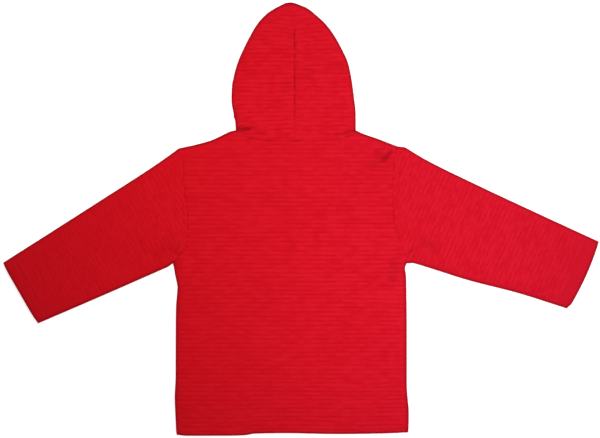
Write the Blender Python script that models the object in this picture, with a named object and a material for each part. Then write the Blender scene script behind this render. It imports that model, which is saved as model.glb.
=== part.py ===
"""Child's hooded winter jacket in ribbed knit, laid flat on its front with the sleeves spread.

Frame: metres, +Z up, the surface it lies on is Z = 0. +Y points from the hem to the hood and -X
to the wearer's left. The origin is the middle of the laid-out jacket, on the surface.

The jacket is two layers of cloth. The fronts, the undersides of the sleeves and the underside of
the hood lie on the surface. The back, the upper sides of the sleeves and the back of the hood lie
on them. Sleeves and hood halves wrap round the folded edges from one layer to the other.
"""

import math
from collections import namedtuple

import bmesh
import bpy
from mathutils import Vector

MM = 0.001

# ---------------------------------------------------------------- cloth, in millimetres
WALL = 2.0            # thickness of the knit
HEM_WALL = 2.8        # the same where the hem is turned in and pressed
SEAM_GAP = 0.3        # between two pieces sewn together
ARMHOLE_GAP = 0.6     # the same along X, where the seam curves away from the grain
NECK_GAP = 0.42       # the same between the back and the hood
FOLD_RADIUS = 2.3     # outside of a folded edge, both layers pressed together
FOLD_HEIGHT = 2 * FOLD_RADIUS
LOFT_HEIGHT = 7.4     # top of the upper layer away from the folded edges
ROLL_WIDTH = 17.0     # from a folded edge to where the upper layer lies level
HEM_DROP = 0.5        # the upper layer settles this much towards a hem or cuff
BODY_HEM = 38.0       # depth of the turned hem
CUFF_HEM = 19.0

# ---------------------------------------------------------------- body, in millimetres
HEM_Y = -333.5        # the lowest edge of the back
CENTRE_X = -12.0      # centre line of the back and of the front closure
NECK_LEVEL = 471.0    # side neck points above the hem
FRONT_NECK_DROP = 66.0
NECK_LEFT = 88.6      # side neck points from the centre line
NECK_RIGHT = 96.6
FRONT_HEM_RISE = 3.0  # the fronts are this much shorter than the back
HEM_STEP = 3.2        # the back's hem rises by this along the wearer's right part
HEM_STEP_X = -77.0    # where it rises, from the centre line
HEM_STEP_WIDTH = 14.0
HEM_STEP_FADE = 90.0  # the rows above the hem follow it up to here

BodySide = namedtuple("BodySide", "level left right")   # half widths at a level above the hem
SIDE_SEAMS = [
    BodySide(0, 180.0, 176.8),
    BodySide(18, 181.0, 178.0),
    BodySide(34, 181.7, 178.0),
    BodySide(58, 182.6, 176.2),
    BodySide(76, 181.8, 175.1),
    BodySide(90, 181.2, 175.0),
    BodySide(170, 181.0, 175.0),
    BodySide(200, 180.5, 174.8),
    BodySide(218, 179.0, 174.5),
    BodySide(229, 178.3, 174.4),
    BodySide(240, 180.2, 174.2),
    BodySide(250, 182.3, 173.4),
    BodySide(258, 183.5, 172.2),
    BodySide(266, 185.4, 174.9),
]
ARMHOLES = [
    BodySide(266, 185.4, 174.9),
    BodySide(273, 179.4, 174.6),
    BodySide(280, 174.0, 173.3),
    BodySide(287, 169.6, 170.2),
    BodySide(299, 165.2, 165.0),
    BodySide(322, 163.3, 158.2),
    BodySide(340, 164.2, 156.2),
    BodySide(368, 167.3, 154.5),
    BodySide(396, 170.0, 155.4),
    BodySide(424, 171.3, 157.6),
    BodySide(446, 168.0, 161.0),
]

EdgePoint = namedtuple("EdgePoint", "across level")     # from the centre line, above the hem
LEFT_SHOULDER = [
    EdgePoint(-168.0, 446.0),
    EdgePoint(-158.0, 446.8),
    EdgePoint(-143.0, 450.6),
    EdgePoint(-127.0, 455.2),
    EdgePoint(-106.0, 464.8),
    EdgePoint(-96.5, 469.3),
    EdgePoint(-NECK_LEFT, NECK_LEVEL),
]
RIGHT_SHOULDER = [
    EdgePoint(NECK_RIGHT, NECK_LEVEL),
    EdgePoint(103.0, 467.6),
    EdgePoint(115.0, 463.0),
    EdgePoint(130.0, 457.9),
    EdgePoint(144.0, 452.4),
    EdgePoint(153.0, 449.0),
    EdgePoint(161.0, 446.0),
]
BACK_NECK = [
    EdgePoint(-NECK_LEFT, NECK_LEVEL),
    EdgePoint(-69.0, 459.5),
    EdgePoint(-27.0, 454.8),
    EdgePoint(30.0, 454.0),
    EdgePoint(68.0, 456.5),
    EdgePoint(82.0, 461.5),
    EdgePoint(NECK_RIGHT, NECK_LEVEL),
]

# ---------------------------------------------------------------- hood, in millimetres
# Half widths, the centre-back seam and half the face opening, each from the centre line, at a
# level above the side neck points.
HoodSection = namedtuple("HoodSection", "level left right seam opening")
HOOD = [
    HoodSection(0, 88.6, 96.6, 2.0, 4.6),
    HoodSection(10, 89.3, 96.6, 2.0, 6.2),
    HoodSection(22, 90.5, 96.6, 2.0, 8.5),
    HoodSection(33, 93.6, 96.1, 2.0, 10.3),
    HoodSection(48, 95.3, 94.2, 2.0, 12.8),
    HoodSection(66, 94.8, 92.0, 2.0, 13.8),
    HoodSection(84, 91.6, 89.2, 2.0, 13.5),
    HoodSection(105, 85.6, 84.3, 2.0, 11.2),
    HoodSection(125, 76.9, 75.2, 2.0, 7.2),
    HoodSection(146, 66.2, 63.5, 1.6, 0.15),
    HoodSection(164, 55.3, 49.9, 0.0, 0.15),
    HoodSection(179, 41.4, 33.6, -2.0, 0.15),
    HoodSection(188, 27.9, 21.7, -5.0, 0.15),
    HoodSection(195.5, 13.0, 3.5, -7.0, 0.15),
]

# ---------------------------------------------------------------- sleeves, in millimetres
# The folded upper edge and the underarm seam at a share of the sleeve's length.
SleeveSection = namedtuple("SleeveSection", "share top_x top_y under_x under_y")
LEFT_SLEEVE = [
    SleeveSection(0.000, -180.0, 112.5, -198.0, -67.5),
    SleeveSection(0.035, -188.3, 109.6, -204.3, -72.3),
    SleeveSection(0.150, -218.5, 88.2, -222.5, -80.5),
    SleeveSection(0.500, -318.0, 23.8, -298.0, -113.7),
    SleeveSection(1.000, -459.5, -66.5, -405.5, -160.0),
]
RIGHT_SLEEVE = [
    SleeveSection(0.000, 149.0, 112.5, 163.5, -67.5),
    SleeveSection(0.045, 164.5, 110.0, 172.0, -66.7),
    SleeveSection(0.150, 192.0, 92.8, 194.0, -73.2),
    SleeveSection(0.400, 270.7, 53.8, 258.3, -93.5),
    SleeveSection(0.700, 365.1, 9.6, 335.4, -113.4),
    SleeveSection(1.000, 459.5, -34.0, 412.5, -138.0),
]
ARMHOLE_CURVE_FADES_AT = 0.35   # share of the length where rings run straight across

# ---------------------------------------------------------------- rows and segments
# Where the pieces have rows of points: levels above the hem, shares of a sleeve's length, and
# levels above the side neck points. The panels go on to the armhole's own levels.
BACK_LEVELS = [0, 12, 30, 38, 44, 75, 103.5, 131.5, 160, 188.5, 216.5, 230, 245, 257]
FRONT_LEVELS = [FRONT_HEM_RISE, 38, 44, 100, 160, 215, 230, 245, 257]
SLEEVE_SHARES = [0.0, 0.04, 0.1, 0.16, 0.26, 0.4, 0.55, 0.72, 0.9, 0.94, 0.96, 1.0]
HOOD_LEVELS = [0, 6, 14, 24, 38, 56, 78, 100, 118, 134, 150, 162, 172, 180, 186, 191, 195.5]
# Segments across each layer of a folded ring.
SLEEVE_OVER, SLEEVE_UNDER = 10, 6
HOOD_OVER, HOOD_UNDER = 7, 6
SHOULDER_SEGMENTS = 4
CROWN_SEAM_LEVEL = 140.0        # the face opening closes into the crown seam from here up

# ---------------------------------------------------------------- zip, in millimetres
FRONT_EDGE = 4.6      # from the centre line to the edge of each front
FRONT_BAND = 11.5     # turned edge of the fronts and the face opening, which the tape covers
CHAIN_HALF = 2.8
CHAIN_LOW, CHAIN_HIGH = 1.5, 3.7
TAPE_THICKNESS = 0.6
ZIP_START = 12.0      # bottom of the box at the zip's lower end, above the hem
ZIP_BOX = 8.0
BOX_BELOW, BOX_ABOVE = 0.6, 0.1   # how far the box stands proud of the chain
SLIDER_LENGTH = 9.6
SLIDER_HALF_HEAD = 4.0
SLIDER_HALF_TAIL = 3.3
SLIDER_SHOULDER = 1.0 # from its middle to where it is widest
SLIDER_CORNER = 1.4
PLATE = 0.9           # thickness of each slider plate
POST_HALF_WIDTH = 1.1
POST_LENGTH = 2.4
POST_POINT = 0.9      # the post narrows to a point towards the chain
POST_SETBACK = 0.3    # from the slider's head
BRIDGE_WIDTH = 2.0
BRIDGE_EYE = 2.2      # the square eye that the pull tab hangs in
BRIDGE_LEG = 1.0
BRIDGE_CROWN = 0.8
BRIDGE_CORNER = 0.5
TAB_LENGTH = 23.0
TAB_HALF_WIDTH = 2.7
TAB_THICKNESS = 1.0
TAB_WINDOW_HALF_WIDTH = 1.5
TAB_WINDOW_LENGTH = 4.6
TAB_CORNER = 0.8
SLIDER_LEVEL = 395.0  # middle of the slider above the hem

# The slider and its tab lie between the jacket and the surface, so the layers above rise there.
MOUND_HEIGHT = 3.2
MOUND_LEVEL = 387.0
MOUND_FLAT = 22.0     # radius of the level top
MOUND_SLOPE = 32.0

# ---------------------------------------------------------------- creases of the upper layer
# Troughs pressed into the upper layer: middle, direction in degrees from +X, length, width and
# depth, in millimetres.
Crease = namedtuple("Crease", "x y angle length width depth")
CREASES = [
    Crease(134, 96, 53, 40, 9, 1.8),        # right shoulder, towards the armhole
    Crease(-76, 139, -4, 44, 7, 1.6),       # left end of the hood's base
    Crease(66, 134, 12, 44, 8, 1.6),        # right end of the hood's base
    Crease(-214, -44, 42, 52, 14, 1.4),     # left underarm
    Crease(188, -36, -38, 58, 14, 1.4),     # right underarm
    Crease(148, -92, 84, 60, 15, 1.0),      # right side below the underarm
]

COLOURS = {
    "knit": ((0.62, 0.012, 0.022), 0.9, 0.0),
    "tape": ((0.42, 0.010, 0.016), 0.85, 0.0),
    "metal": ((0.55, 0.55, 0.56), 0.35, 1.0),
}


# ---------------------------------------------------------------- curves through the tables
def ease(t):
    """0 to 1 over t = 0 to 1, steep at first and level at the end."""
    t = min(max(t, 0.0), 1.0)
    return 1.0 - (1.0 - t) ** 2.2


def smooth(t):
    t = min(max(t, 0.0), 1.0)
    return t * t * (3.0 - 2.0 * t)


def between(keys, values, key):
    """A smooth curve through (key, value) that doesn't overshoot, for rising keys."""
    if key <= keys[0]:
        return values[0]
    if key >= keys[-1]:
        return values[-1]
    k = max(i for i in range(len(keys) - 1) if keys[i] <= key)
    slopes = [(values[i + 1] - values[i]) / (keys[i + 1] - keys[i]) for i in range(len(keys) - 1)]

    def tangent(i):
        if i == 0:
            return slopes[0]
        if i == len(keys) - 1:
            return slopes[-1]
        before, after = slopes[i - 1], slopes[i]
        if before * after <= 0:
            return 0.0
        return 2 * before * after / (before + after)

    width = keys[k + 1] - keys[k]
    t = (key - keys[k]) / width
    start, end = values[k], values[k + 1]
    return (
        start * (1 + 2 * t) * (1 - t) ** 2
        + end * t * t * (3 - 2 * t)
        + width * (tangent(k) * t * (1 - t) ** 2 - tangent(k + 1) * t * t * (1 - t))
    )


def column(table, name, key_name, key):
    """The value of one column of a table at a key of another."""
    return between([getattr(r, key_name) for r in table], [getattr(r, name) for r in table], key)


def side_x(side, level):
    """X of the side seam or the armhole seam, side is 'left' or 'right'."""
    table = SIDE_SEAMS if level < ARMHOLES[0].level else ARMHOLES
    half = column(table, side, "level", level)
    return CENTRE_X + (half if side == "right" else -half)


def edge_level(points, across):
    return column(points, "level", "across", across)


def front_neck_level(across, extra):
    """The front neckline: a quarter ellipse on each side, larger all round by extra."""
    half = (NECK_LEFT if across < 0 else NECK_RIGHT) + extra
    share = min(abs(across) / half, 1.0)
    return NECK_LEVEL - (FRONT_NECK_DROP + extra) * math.sqrt(1.0 - share * share)


def lerp(a, b, t):
    return a + (b - a) * t


def spread(count, start=0.0, end=1.0):
    """Positions from start to end, closer together towards both ends."""
    return [lerp(start, end, 0.5 - 0.5 * math.cos(math.pi * i / count)) for i in range(count + 1)]


def even(count, start=0.0, end=1.0):
    return [lerp(start, end, i / count) for i in range(count + 1)]


# ---------------------------------------------------------------- height of the two layers
def sleeve_edge(table, share, edge):
    return tuple(column(table, edge + axis, "share", share) for axis in ("_x", "_y"))


def fold_lines():
    """The folded outer edges of the laid-out jacket, as lines of (x, y)."""
    lines = []
    for side in ("left", "right"):
        lines.append([(side_x(side, lv), HEM_Y + lv) for lv in even(24, 0, ARMHOLES[0].level)])
    for table in (LEFT_SLEEVE, RIGHT_SLEEVE):
        for edge in ("top", "under"):
            lines.append([sleeve_edge(table, s, edge) for s in even(24)])
    for points in (LEFT_SHOULDER, RIGHT_SHOULDER):
        acrosses = even(8, points[0].across, points[-1].across)
        lines.append([(CENTRE_X + a, HEM_Y + edge_level(points, a)) for a in acrosses])
    base = HEM_Y + NECK_LEVEL
    left = [(CENTRE_X - s.left, base + s.level) for s in HOOD]
    right = [(CENTRE_X + s.right, base + s.level) for s in reversed(HOOD)]
    lines.append(left + right)
    return lines


FOLD_SEGMENTS = [pair for line in fold_lines() for pair in zip(line, line[1:])]


def fold_distance(x, y):
    nearest = math.inf
    for (ax, ay), (bx, by) in FOLD_SEGMENTS:
        dx, dy = bx - ax, by - ay
        t = ((x - ax) * dx + (y - ay) * dy) / (dx * dx + dy * dy)
        t = min(max(t, 0.0), 1.0)
        nearest = min(nearest, math.hypot(x - ax - t * dx, y - ay - t * dy))
    return nearest


def crease_depth(x, y):
    total = 0.0
    for c in CREASES:
        cos, sin = math.cos(math.radians(c.angle)), math.sin(math.radians(c.angle))
        along = ((x - c.x) * cos + (y - c.y) * sin) / (c.length / 2)
        side = ((y - c.y) * cos - (x - c.x) * sin) / (c.width / 2)
        total += c.depth * math.exp(-side * side) * (1.0 - smooth(abs(along) - 0.3))
    return total


def loft(x, y):
    """0 on the folded edges, 1 where the upper layer lies level."""
    return ease((fold_distance(x, y) - FOLD_RADIUS) / ROLL_WIDTH)


def upper_height(x, y, hem_distance=math.inf):
    """Top of the upper layer. hem_distance is how far the point is from its hem or cuff."""
    drop = HEM_DROP * (1.0 - smooth(hem_distance / BODY_HEM))
    return FOLD_HEIGHT + (LOFT_HEIGHT - FOLD_HEIGHT - crease_depth(x, y) - drop) * loft(x, y)


def mound(x, y):
    distance = math.hypot(x - CENTRE_X, y - HEM_Y - MOUND_LEVEL)
    return MOUND_HEIGHT * (1.0 - smooth((distance - MOUND_FLAT) / MOUND_SLOPE))


def hem_thickness(x, y, hem_distance, hem_depth):
    """Thicker over the turned hem, but not where a folded edge presses the layers together."""
    turned = 1.0 - smooth((hem_distance - hem_depth + 2.0) / 4.0)
    return lerp(WALL, HEM_WALL, turned * loft(x, y))


# ---------------------------------------------------------------- making objects
def clear_scene():
    for thing in list(bpy.data.objects):
        bpy.data.objects.remove(thing, do_unlink=True)


def material(name):
    found = bpy.data.materials.get(name)
    if found:
        return found
    colour, roughness, metallic = COLOURS[name.split("_")[0]]
    made = bpy.data.materials.new(name)
    made.use_nodes = True
    shader = made.node_tree.nodes["Principled BSDF"]
    shader.inputs["Base Color"].default_value = (*colour, 1.0)
    shader.inputs["Roughness"].default_value = roughness
    shader.inputs["Metallic"].default_value = metallic
    made.diffuse_color = (*colour, 1.0)
    return made


def add_object(name, mesh_builder, kind, parent):
    """An object from a filled bmesh, in metres, with its own material."""
    bmesh.ops.recalc_face_normals(mesh_builder, faces=mesh_builder.faces)
    mesh = bpy.data.meshes.new(name)
    mesh_builder.to_mesh(mesh)
    mesh_builder.free()
    mesh.materials.append(material(kind + "_" + name))
    thing = bpy.data.objects.new(name, mesh)
    bpy.context.collection.objects.link(thing)
    thing.parent = parent
    return thing


def add_wall(name, outer, inner, kind, parent, ring=False):
    """A closed wall between two grids of points in millimetres, row by row. In a ring the last
    point of each row joins the first."""
    bm = bmesh.new()
    skins = []
    for rows in (outer, inner):
        skins.append([
            [bm.verts.new((x * MM, y * MM, (z + mound(x, y)) * MM)) for x, y, z in row]
            for row in rows
        ])
    rows, points = len(outer), len(outer[0])
    steps = points if ring else points - 1
    for i in range(rows - 1):
        for j in range(steps):
            k = (j + 1) % points
            for skin in skins:
                bm.faces.new((skin[i][j], skin[i][k], skin[i + 1][k], skin[i + 1][j]))
    for i in (0, rows - 1):
        for j in range(steps):
            k = (j + 1) % points
            bm.faces.new((skins[0][i][j], skins[0][i][k], skins[1][i][k], skins[1][i][j]))
    if not ring:
        for j in (0, points - 1):
            for i in range(rows - 1):
                bm.faces.new((skins[0][i][j], skins[0][i + 1][j], skins[1][i + 1][j], skins[1][i][j]))
    wall = add_object(name, bm, kind, parent)
    wall.data.shade_smooth()
    wall.data.set_sharp_from_angle(angle=math.radians(40))
    return wall


# ---------------------------------------------------------------- points shared along seams
def armhole_length():
    """Along the chord of an armhole. Both are as long."""
    first = LEFT_SLEEVE[0]
    return math.hypot(first.top_x - first.under_x, first.top_y - first.under_y)


def armhole_levels(segments):
    """Levels above the hem, from the underarm up, where a sleeve's seam has its points."""
    width = armhole_length()
    bottom, top = ARMHOLES[0].level, ARMHOLES[-1].level
    places = spread(segments, width - FOLD_RADIUS, FOLD_RADIUS)
    return [bottom] + [lerp(top, bottom, d / width) for d in places] + [top]


def neck_half(side):
    return NECK_LEFT if side == "left" else NECK_RIGHT


def hood_columns(side, level):
    """Distances from the centre line where a hood half has its points at a level: over the top
    from the seam to the folded edge, and underneath from the edge to the opening."""
    sign = -1 if side == "left" else 1
    turned = column(HOOD, side, "level", level) - FOLD_RADIUS
    seam = column(HOOD, "seam", "level", level) * sign + SEAM_GAP / 2
    opening = max(column(HOOD, "opening", "level", level), SEAM_GAP / 2)
    opening = lerp(opening, seam, smooth((level - CROWN_SEAM_LEVEL) / 20))
    band = min(FRONT_BAND, 0.3 * (turned - opening))
    under = spread(HOOD_UNDER - 1, turned, opening + band) + [opening]
    return spread(HOOD_OVER, seam, turned), under


# ---------------------------------------------------------------- body
def hem_step(x):
    """How far the back's hem lies above its lowest edge."""
    start = CENTRE_X + HEM_STEP_X
    return HEM_STEP * smooth((x - start) / HEM_STEP_WIDTH)


def back_upper_edge():
    """The back's shoulders and neck, from tip to tip, as (across, level)."""
    points = [(a, edge_level(LEFT_SHOULDER, a))
              for a in spread(SHOULDER_SEGMENTS, LEFT_SHOULDER[0].across, -NECK_LEFT - SEAM_GAP)]
    over_left, over_right = (hood_columns(side, 0)[0] for side in ("left", "right"))
    neck = [-a for a in reversed(over_left)] + over_right
    points += [(a, edge_level(BACK_NECK, a) - NECK_GAP) for a in neck]
    points += [(a, edge_level(RIGHT_SHOULDER, a))
               for a in spread(SHOULDER_SEGMENTS, NECK_RIGHT + SEAM_GAP, RIGHT_SHOULDER[-1].across)]
    return points


def add_back(parent):
    upper_edge = back_upper_edge()
    first, last = upper_edge[0], upper_edge[-1]
    outer, inner = [], []
    for side_level in BACK_LEVELS + armhole_levels(SLEEVE_OVER):
        share = side_level / first[1]
        outer_row, inner_row = [], []
        for across, top_level in upper_edge:
            u = (across - first[0]) / (last[0] - first[0])
            x = lerp(side_x("left", side_level), side_x("right", side_level), u)
            y = HEM_Y + top_level * share + hem_step(x) * (1.0 - smooth(side_level / HEM_STEP_FADE))
            z = upper_height(x, y, side_level)
            outer_row.append((x, y, z))
            inner_row.append((x, y, z - hem_thickness(x, y, side_level, BODY_HEM)))
        outer.append(outer_row)
        inner.append(inner_row)
    return add_wall("back", outer, inner, "knit", parent)


def front_upper_edge(side):
    """A front's shoulder and neckline, from the shoulder tip to the zip, as (across, level)."""
    sign, points = (-1, LEFT_SHOULDER) if side == "left" else (1, RIGHT_SHOULDER)
    tip = LEFT_SHOULDER[0].across if side == "left" else RIGHT_SHOULDER[-1].across
    half = neck_half(side)
    edge = [(a, edge_level(points, a)) for a in spread(SHOULDER_SEGMENTS, tip, sign * (half + SEAM_GAP))]
    larger = (half + SEAM_GAP) / half
    lower_turn = turned_edge(half - FOLD_RADIUS, 1, 0.0)[-1][0]
    for distance in [lower_turn] + hood_columns(side, 0)[1][:-1]:
        across = sign * distance * larger
        edge.append((across, front_neck_level(across, SEAM_GAP)))
    across = sign * FRONT_EDGE
    return edge + [(across, front_neck_level(across, SEAM_GAP))]


def add_front(side, parent):
    """One front, from its side seam to the zip."""
    upper_edge = front_upper_edge(side)
    tip, edge = upper_edge[0][0], upper_edge[-1][0]
    top = upper_edge[0][1]
    outer, inner = [], []
    for side_level in FRONT_LEVELS + armhole_levels(SLEEVE_UNDER):
        share = (side_level - FRONT_HEM_RISE) / (top - FRONT_HEM_RISE)
        outer_row, inner_row = [], []
        for across, top_level in upper_edge:
            u = (across - tip) / (edge - tip)
            x = lerp(side_x(side, side_level), CENTRE_X + edge, u)
            level = lerp(FRONT_HEM_RISE, top_level, share)
            y = HEM_Y + level
            beside_zip = smooth((abs(x - CENTRE_X) - FRONT_EDGE - FRONT_BAND - 2.0) / 6.0)
            thickness = hem_thickness(x, y, level - FRONT_HEM_RISE, BODY_HEM)
            outer_row.append((x, y, 0.0))
            inner_row.append((x, y, lerp(WALL, thickness, beside_zip)))
        outer.append(outer_row)
        inner.append(inner_row)
    add_wall(side + "_front", outer, inner, "knit", parent)
    add_tape(side, [row[-2:] for row in inner], parent)


# ---------------------------------------------------------------- folded rings
def turned_edge(middle, direction, inset):
    """Three points round a folded edge whose middle is at a distance, top first for +1."""
    radius = FOLD_RADIUS - inset
    angles = (45, 0, -45) if direction > 0 else (-45, 0, 45)
    return [(middle + direction * radius * math.cos(math.radians(a)),
             FOLD_RADIUS + radius * math.sin(math.radians(a))) for a in angles]


def sleeve_ring(width, inset):
    """Round a flattened sleeve from the upper edge: distance from that edge, height where it is
    fixed, and the layer it belongs to. Inset 0 is the outside."""
    middle = width - FOLD_RADIUS
    over = [(d, None, "upper") for d in spread(SLEEVE_OVER, FOLD_RADIUS, middle)]
    under = [(d, inset, "lower") for d in spread(SLEEVE_UNDER, middle, FOLD_RADIUS)]
    edges = [[(d, z, "edge") for d, z in turned_edge(*place, inset)]
             for place in ((middle, 1), (FOLD_RADIUS, -1))]
    return over + edges[0] + under + edges[1]


def add_sleeve(side, parent):
    table = LEFT_SLEEVE if side == "left" else RIGHT_SLEEVE
    away = -1 if side == "left" else 1
    (top_x, top_y), (under_x, under_y) = (sleeve_edge(table, 0.0, e) for e in ("top", "under"))
    cuff_top, cuff_under = (Vector(sleeve_edge(table, 1.0, e)) for e in ("top", "under"))
    cuff_line = (cuff_under - cuff_top).normalized()
    outer, inner = [], []
    for share in SLEEVE_SHARES:
        top, under = (Vector(sleeve_edge(table, share, e)) for e in ("top", "under"))
        width = (under - top).length
        fade = 1.0 - smooth(share / ARMHOLE_CURVE_FADES_AT)
        for rows, inset in ((outer, 0.0), (inner, WALL)):
            row = []
            for d, height, layer in sleeve_ring(width, inset):
                place = top.lerp(under, d / width)
                chord_x = lerp(top_x, under_x, d / width)
                level = lerp(top_y, under_y, d / width) - HEM_Y
                seam_x = side_x(side, level) + away * ARMHOLE_GAP
                x, y = place.x + fade * (seam_x - chord_x), place.y
                offset = Vector((x, y)) - cuff_top
                cuff_distance = (offset - cuff_line * offset.dot(cuff_line)).length
                thickness = hem_thickness(x, y, cuff_distance, CUFF_HEM) if inset else 0.0
                if layer == "upper":
                    height = upper_height(x, y, cuff_distance * BODY_HEM / CUFF_HEM) - thickness
                elif layer == "lower":
                    height = thickness
                row.append((x, y, height))
            rows.append(row)
    return add_wall(side + "_sleeve", outer, inner, "knit", parent, ring=True)


# ---------------------------------------------------------------- hood
def add_hood_half(side, parent):
    """From the centre-back seam over the folded edge to the face opening and the crown seam."""
    sign = -1 if side == "left" else 1
    outer, inner = [], []
    for level in HOOD_LEVELS:
        half = column(HOOD, side, "level", level)
        over, under = hood_columns(side, level)
        fade = 1.0 - level / HOOD[-1].level
        neck_levels = []
        for rows, inset in ((outer, 0.0), (inner, WALL)):
            row = [(a, None) for a in over]
            row += turned_edge(half - FOLD_RADIUS, 1, inset)
            row += [(a, inset) for a in under]
            if not neck_levels:
                over_count = len(over) + 1
                for n, (across, height) in enumerate(row):
                    at_neck = sign * min(across / half, 1.0) * neck_half(side)
                    neck_levels.append(edge_level(BACK_NECK, at_neck) if n < over_count
                                       else front_neck_level(at_neck, 0.0))
            points = []
            for (across, height), neck in zip(row, neck_levels):
                x = CENTRE_X + sign * across
                y = HEM_Y + NECK_LEVEL + level + (neck - NECK_LEVEL) * fade
                z = upper_height(x, y) - inset if height is None else height
                points.append((x, y, z))
            rows.append(points)
    return add_wall(side + "_hood", outer, inner, "knit", parent)


# ---------------------------------------------------------------- zip
def add_tape(side, band, parent):
    """The zip's tape lies on the turned edge of a front, from the band's points moved up, and
    reaches past it to the chain."""
    sign = -1 if side == "left" else 1
    chain_x = CENTRE_X + sign * (CHAIN_HALF + SEAM_GAP)
    lower, upper = [], []
    for outer_point, edge_point in band:
        places = [outer_point[:2], edge_point[:2], (chain_x, edge_point[1])]
        low = WALL + SEAM_GAP
        lower.append([(x, y, low) for x, y in places])
        upper.append([(x, y, low + TAPE_THICKNESS) for x, y in places])
    add_wall("zip_tape_" + side, lower, upper, "tape", parent)


def add_strip(name, levels, low, high, kind, parent):
    """A flat strip as wide as the chain, along the centre line."""
    edges = (CENTRE_X - CHAIN_HALF, CENTRE_X + CHAIN_HALF)
    faces = [[[(x, HEM_Y + level, z) for x in edges] for level in levels] for z in (low, high)]
    add_wall(name, *faces, kind, parent)


def prism(outline, low, high):
    """A bmesh of an outline of (a, b) extruded from low to high along the third axis."""
    bm = bmesh.new()
    ends = [[bm.verts.new((a, b, c)) for a, b in outline] for c in (low, high)]
    for end in ends:
        bm.faces.new(end)
    for i in range(len(outline)):
        k = (i + 1) % len(outline)
        bm.faces.new((ends[0][i], ends[0][k], ends[1][k], ends[1][i]))
    return bm


def scaled(bm, turned=False):
    """Millimetres to metres. Turned puts the outline in the YZ plane, extruded along X."""
    for v in bm.verts:
        a, b, c = v.co
        v.co = Vector((c, a, b) if turned else (a, b, c)) * MM
    return bm


def combine(target, tools, operation):
    """Boolean each tool into the target and remove the tool."""
    for tool in tools:
        step = target.modifiers.new(operation.lower(), "BOOLEAN")
        step.operation = operation
        step.object = tool
        bpy.context.view_layer.update()
        graph = bpy.context.evaluated_depsgraph_get()
        mesh = bpy.data.meshes.new_from_object(target.evaluated_get(graph))
        target.modifiers.clear()
        target.data = mesh
        bpy.data.objects.remove(tool, do_unlink=True)
    return target


def add_slider(parent, hinge):
    """Two plates round the chain, a post between them at the head and a bridge for the tab."""
    head, tail = SLIDER_LENGTH / 2, -SLIDER_LENGTH / 2
    shield = [
        (-SLIDER_HALF_TAIL, tail), (SLIDER_HALF_TAIL, tail),
        (SLIDER_HALF_HEAD, SLIDER_SHOULDER), (SLIDER_HALF_HEAD, head - SLIDER_CORNER),
        (SLIDER_HALF_HEAD - SLIDER_CORNER, head), (-SLIDER_HALF_HEAD + SLIDER_CORNER, head),
        (-SLIDER_HALF_HEAD, head - SLIDER_CORNER), (-SLIDER_HALF_HEAD, SLIDER_SHOULDER),
    ]
    lower_top = CHAIN_LOW - SEAM_GAP
    upper_low = CHAIN_HIGH + SEAM_GAP
    lower = scaled(prism(shield, lower_top - PLATE, lower_top))
    slider = add_object("zip_slider", lower, "metal", parent)
    upper = scaled(prism(shield, upper_low, upper_low + PLATE))
    post_outline = [
        (-POST_HALF_WIDTH, head - POST_LENGTH), (0.0, head - POST_LENGTH - POST_POINT),
        (POST_HALF_WIDTH, head - POST_LENGTH), (POST_HALF_WIDTH, head - POST_SETBACK),
        (-POST_HALF_WIDTH, head - POST_SETBACK),
    ]
    post = scaled(prism(post_outline, lower_top - PLATE / 2, upper_low + PLATE / 2))
    eye, leg, corner = BRIDGE_EYE / 2, BRIDGE_LEG, BRIDGE_CORNER
    crown = hinge.z / MM - eye - BRIDGE_CROWN
    inside = lower_top - PLATE / 2
    arch = [
        (-eye - leg, inside), (-eye - leg, crown + corner), (-eye - leg + corner, crown),
        (eye + leg - corner, crown), (eye + leg, crown + corner), (eye + leg, inside),
        (eye, inside), (eye, crown + BRIDGE_CROWN), (-eye, crown + BRIDGE_CROWN), (-eye, inside),
    ]
    bridge = scaled(prism(arch, -BRIDGE_WIDTH / 2, BRIDGE_WIDTH / 2), turned=True)
    tools = [add_object(f"slider_tool_{n}", bm, "metal", parent)
             for n, bm in enumerate((upper, post, bridge))]
    combine(slider, tools, "UNION")
    slider.location = (hinge.x, hinge.y, MOUND_HEIGHT * MM)
    return slider


def add_pull_tab(parent, hinge):
    """A flat tab whose first cross bar hangs in the bridge's eye. Its origin is on the hinge."""
    bar, half = TAB_THICKNESS / 2, TAB_HALF_WIDTH
    end_arc = [
        (half * math.cos(math.radians(a)), bar - TAB_LENGTH + half + half * math.sin(math.radians(a)))
        for a in range(0, -181, -30)
    ]
    corner = TAB_CORNER
    outline = [(-half + corner, bar), (half - corner, bar), (half, bar - corner)]
    outline += end_arc + [(-half, bar - corner)]
    plate = scaled(prism(outline, -bar, bar))
    tab = add_object("zip_pull_tab", plate, "metal", parent)
    window_half = TAB_WINDOW_HALF_WIDTH
    window = [
        (-window_half, -bar - TAB_WINDOW_LENGTH), (window_half, -bar - TAB_WINDOW_LENGTH),
        (window_half, -bar), (-window_half, -bar),
    ]
    cut = add_object("tab_tool", scaled(prism(window, -2 * bar, 2 * bar)), "metal", parent)
    combine(tab, [cut], "DIFFERENCE")
    tab.location = (hinge.x, hinge.y, hinge.z + MOUND_HEIGHT * MM)
    return tab


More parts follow.
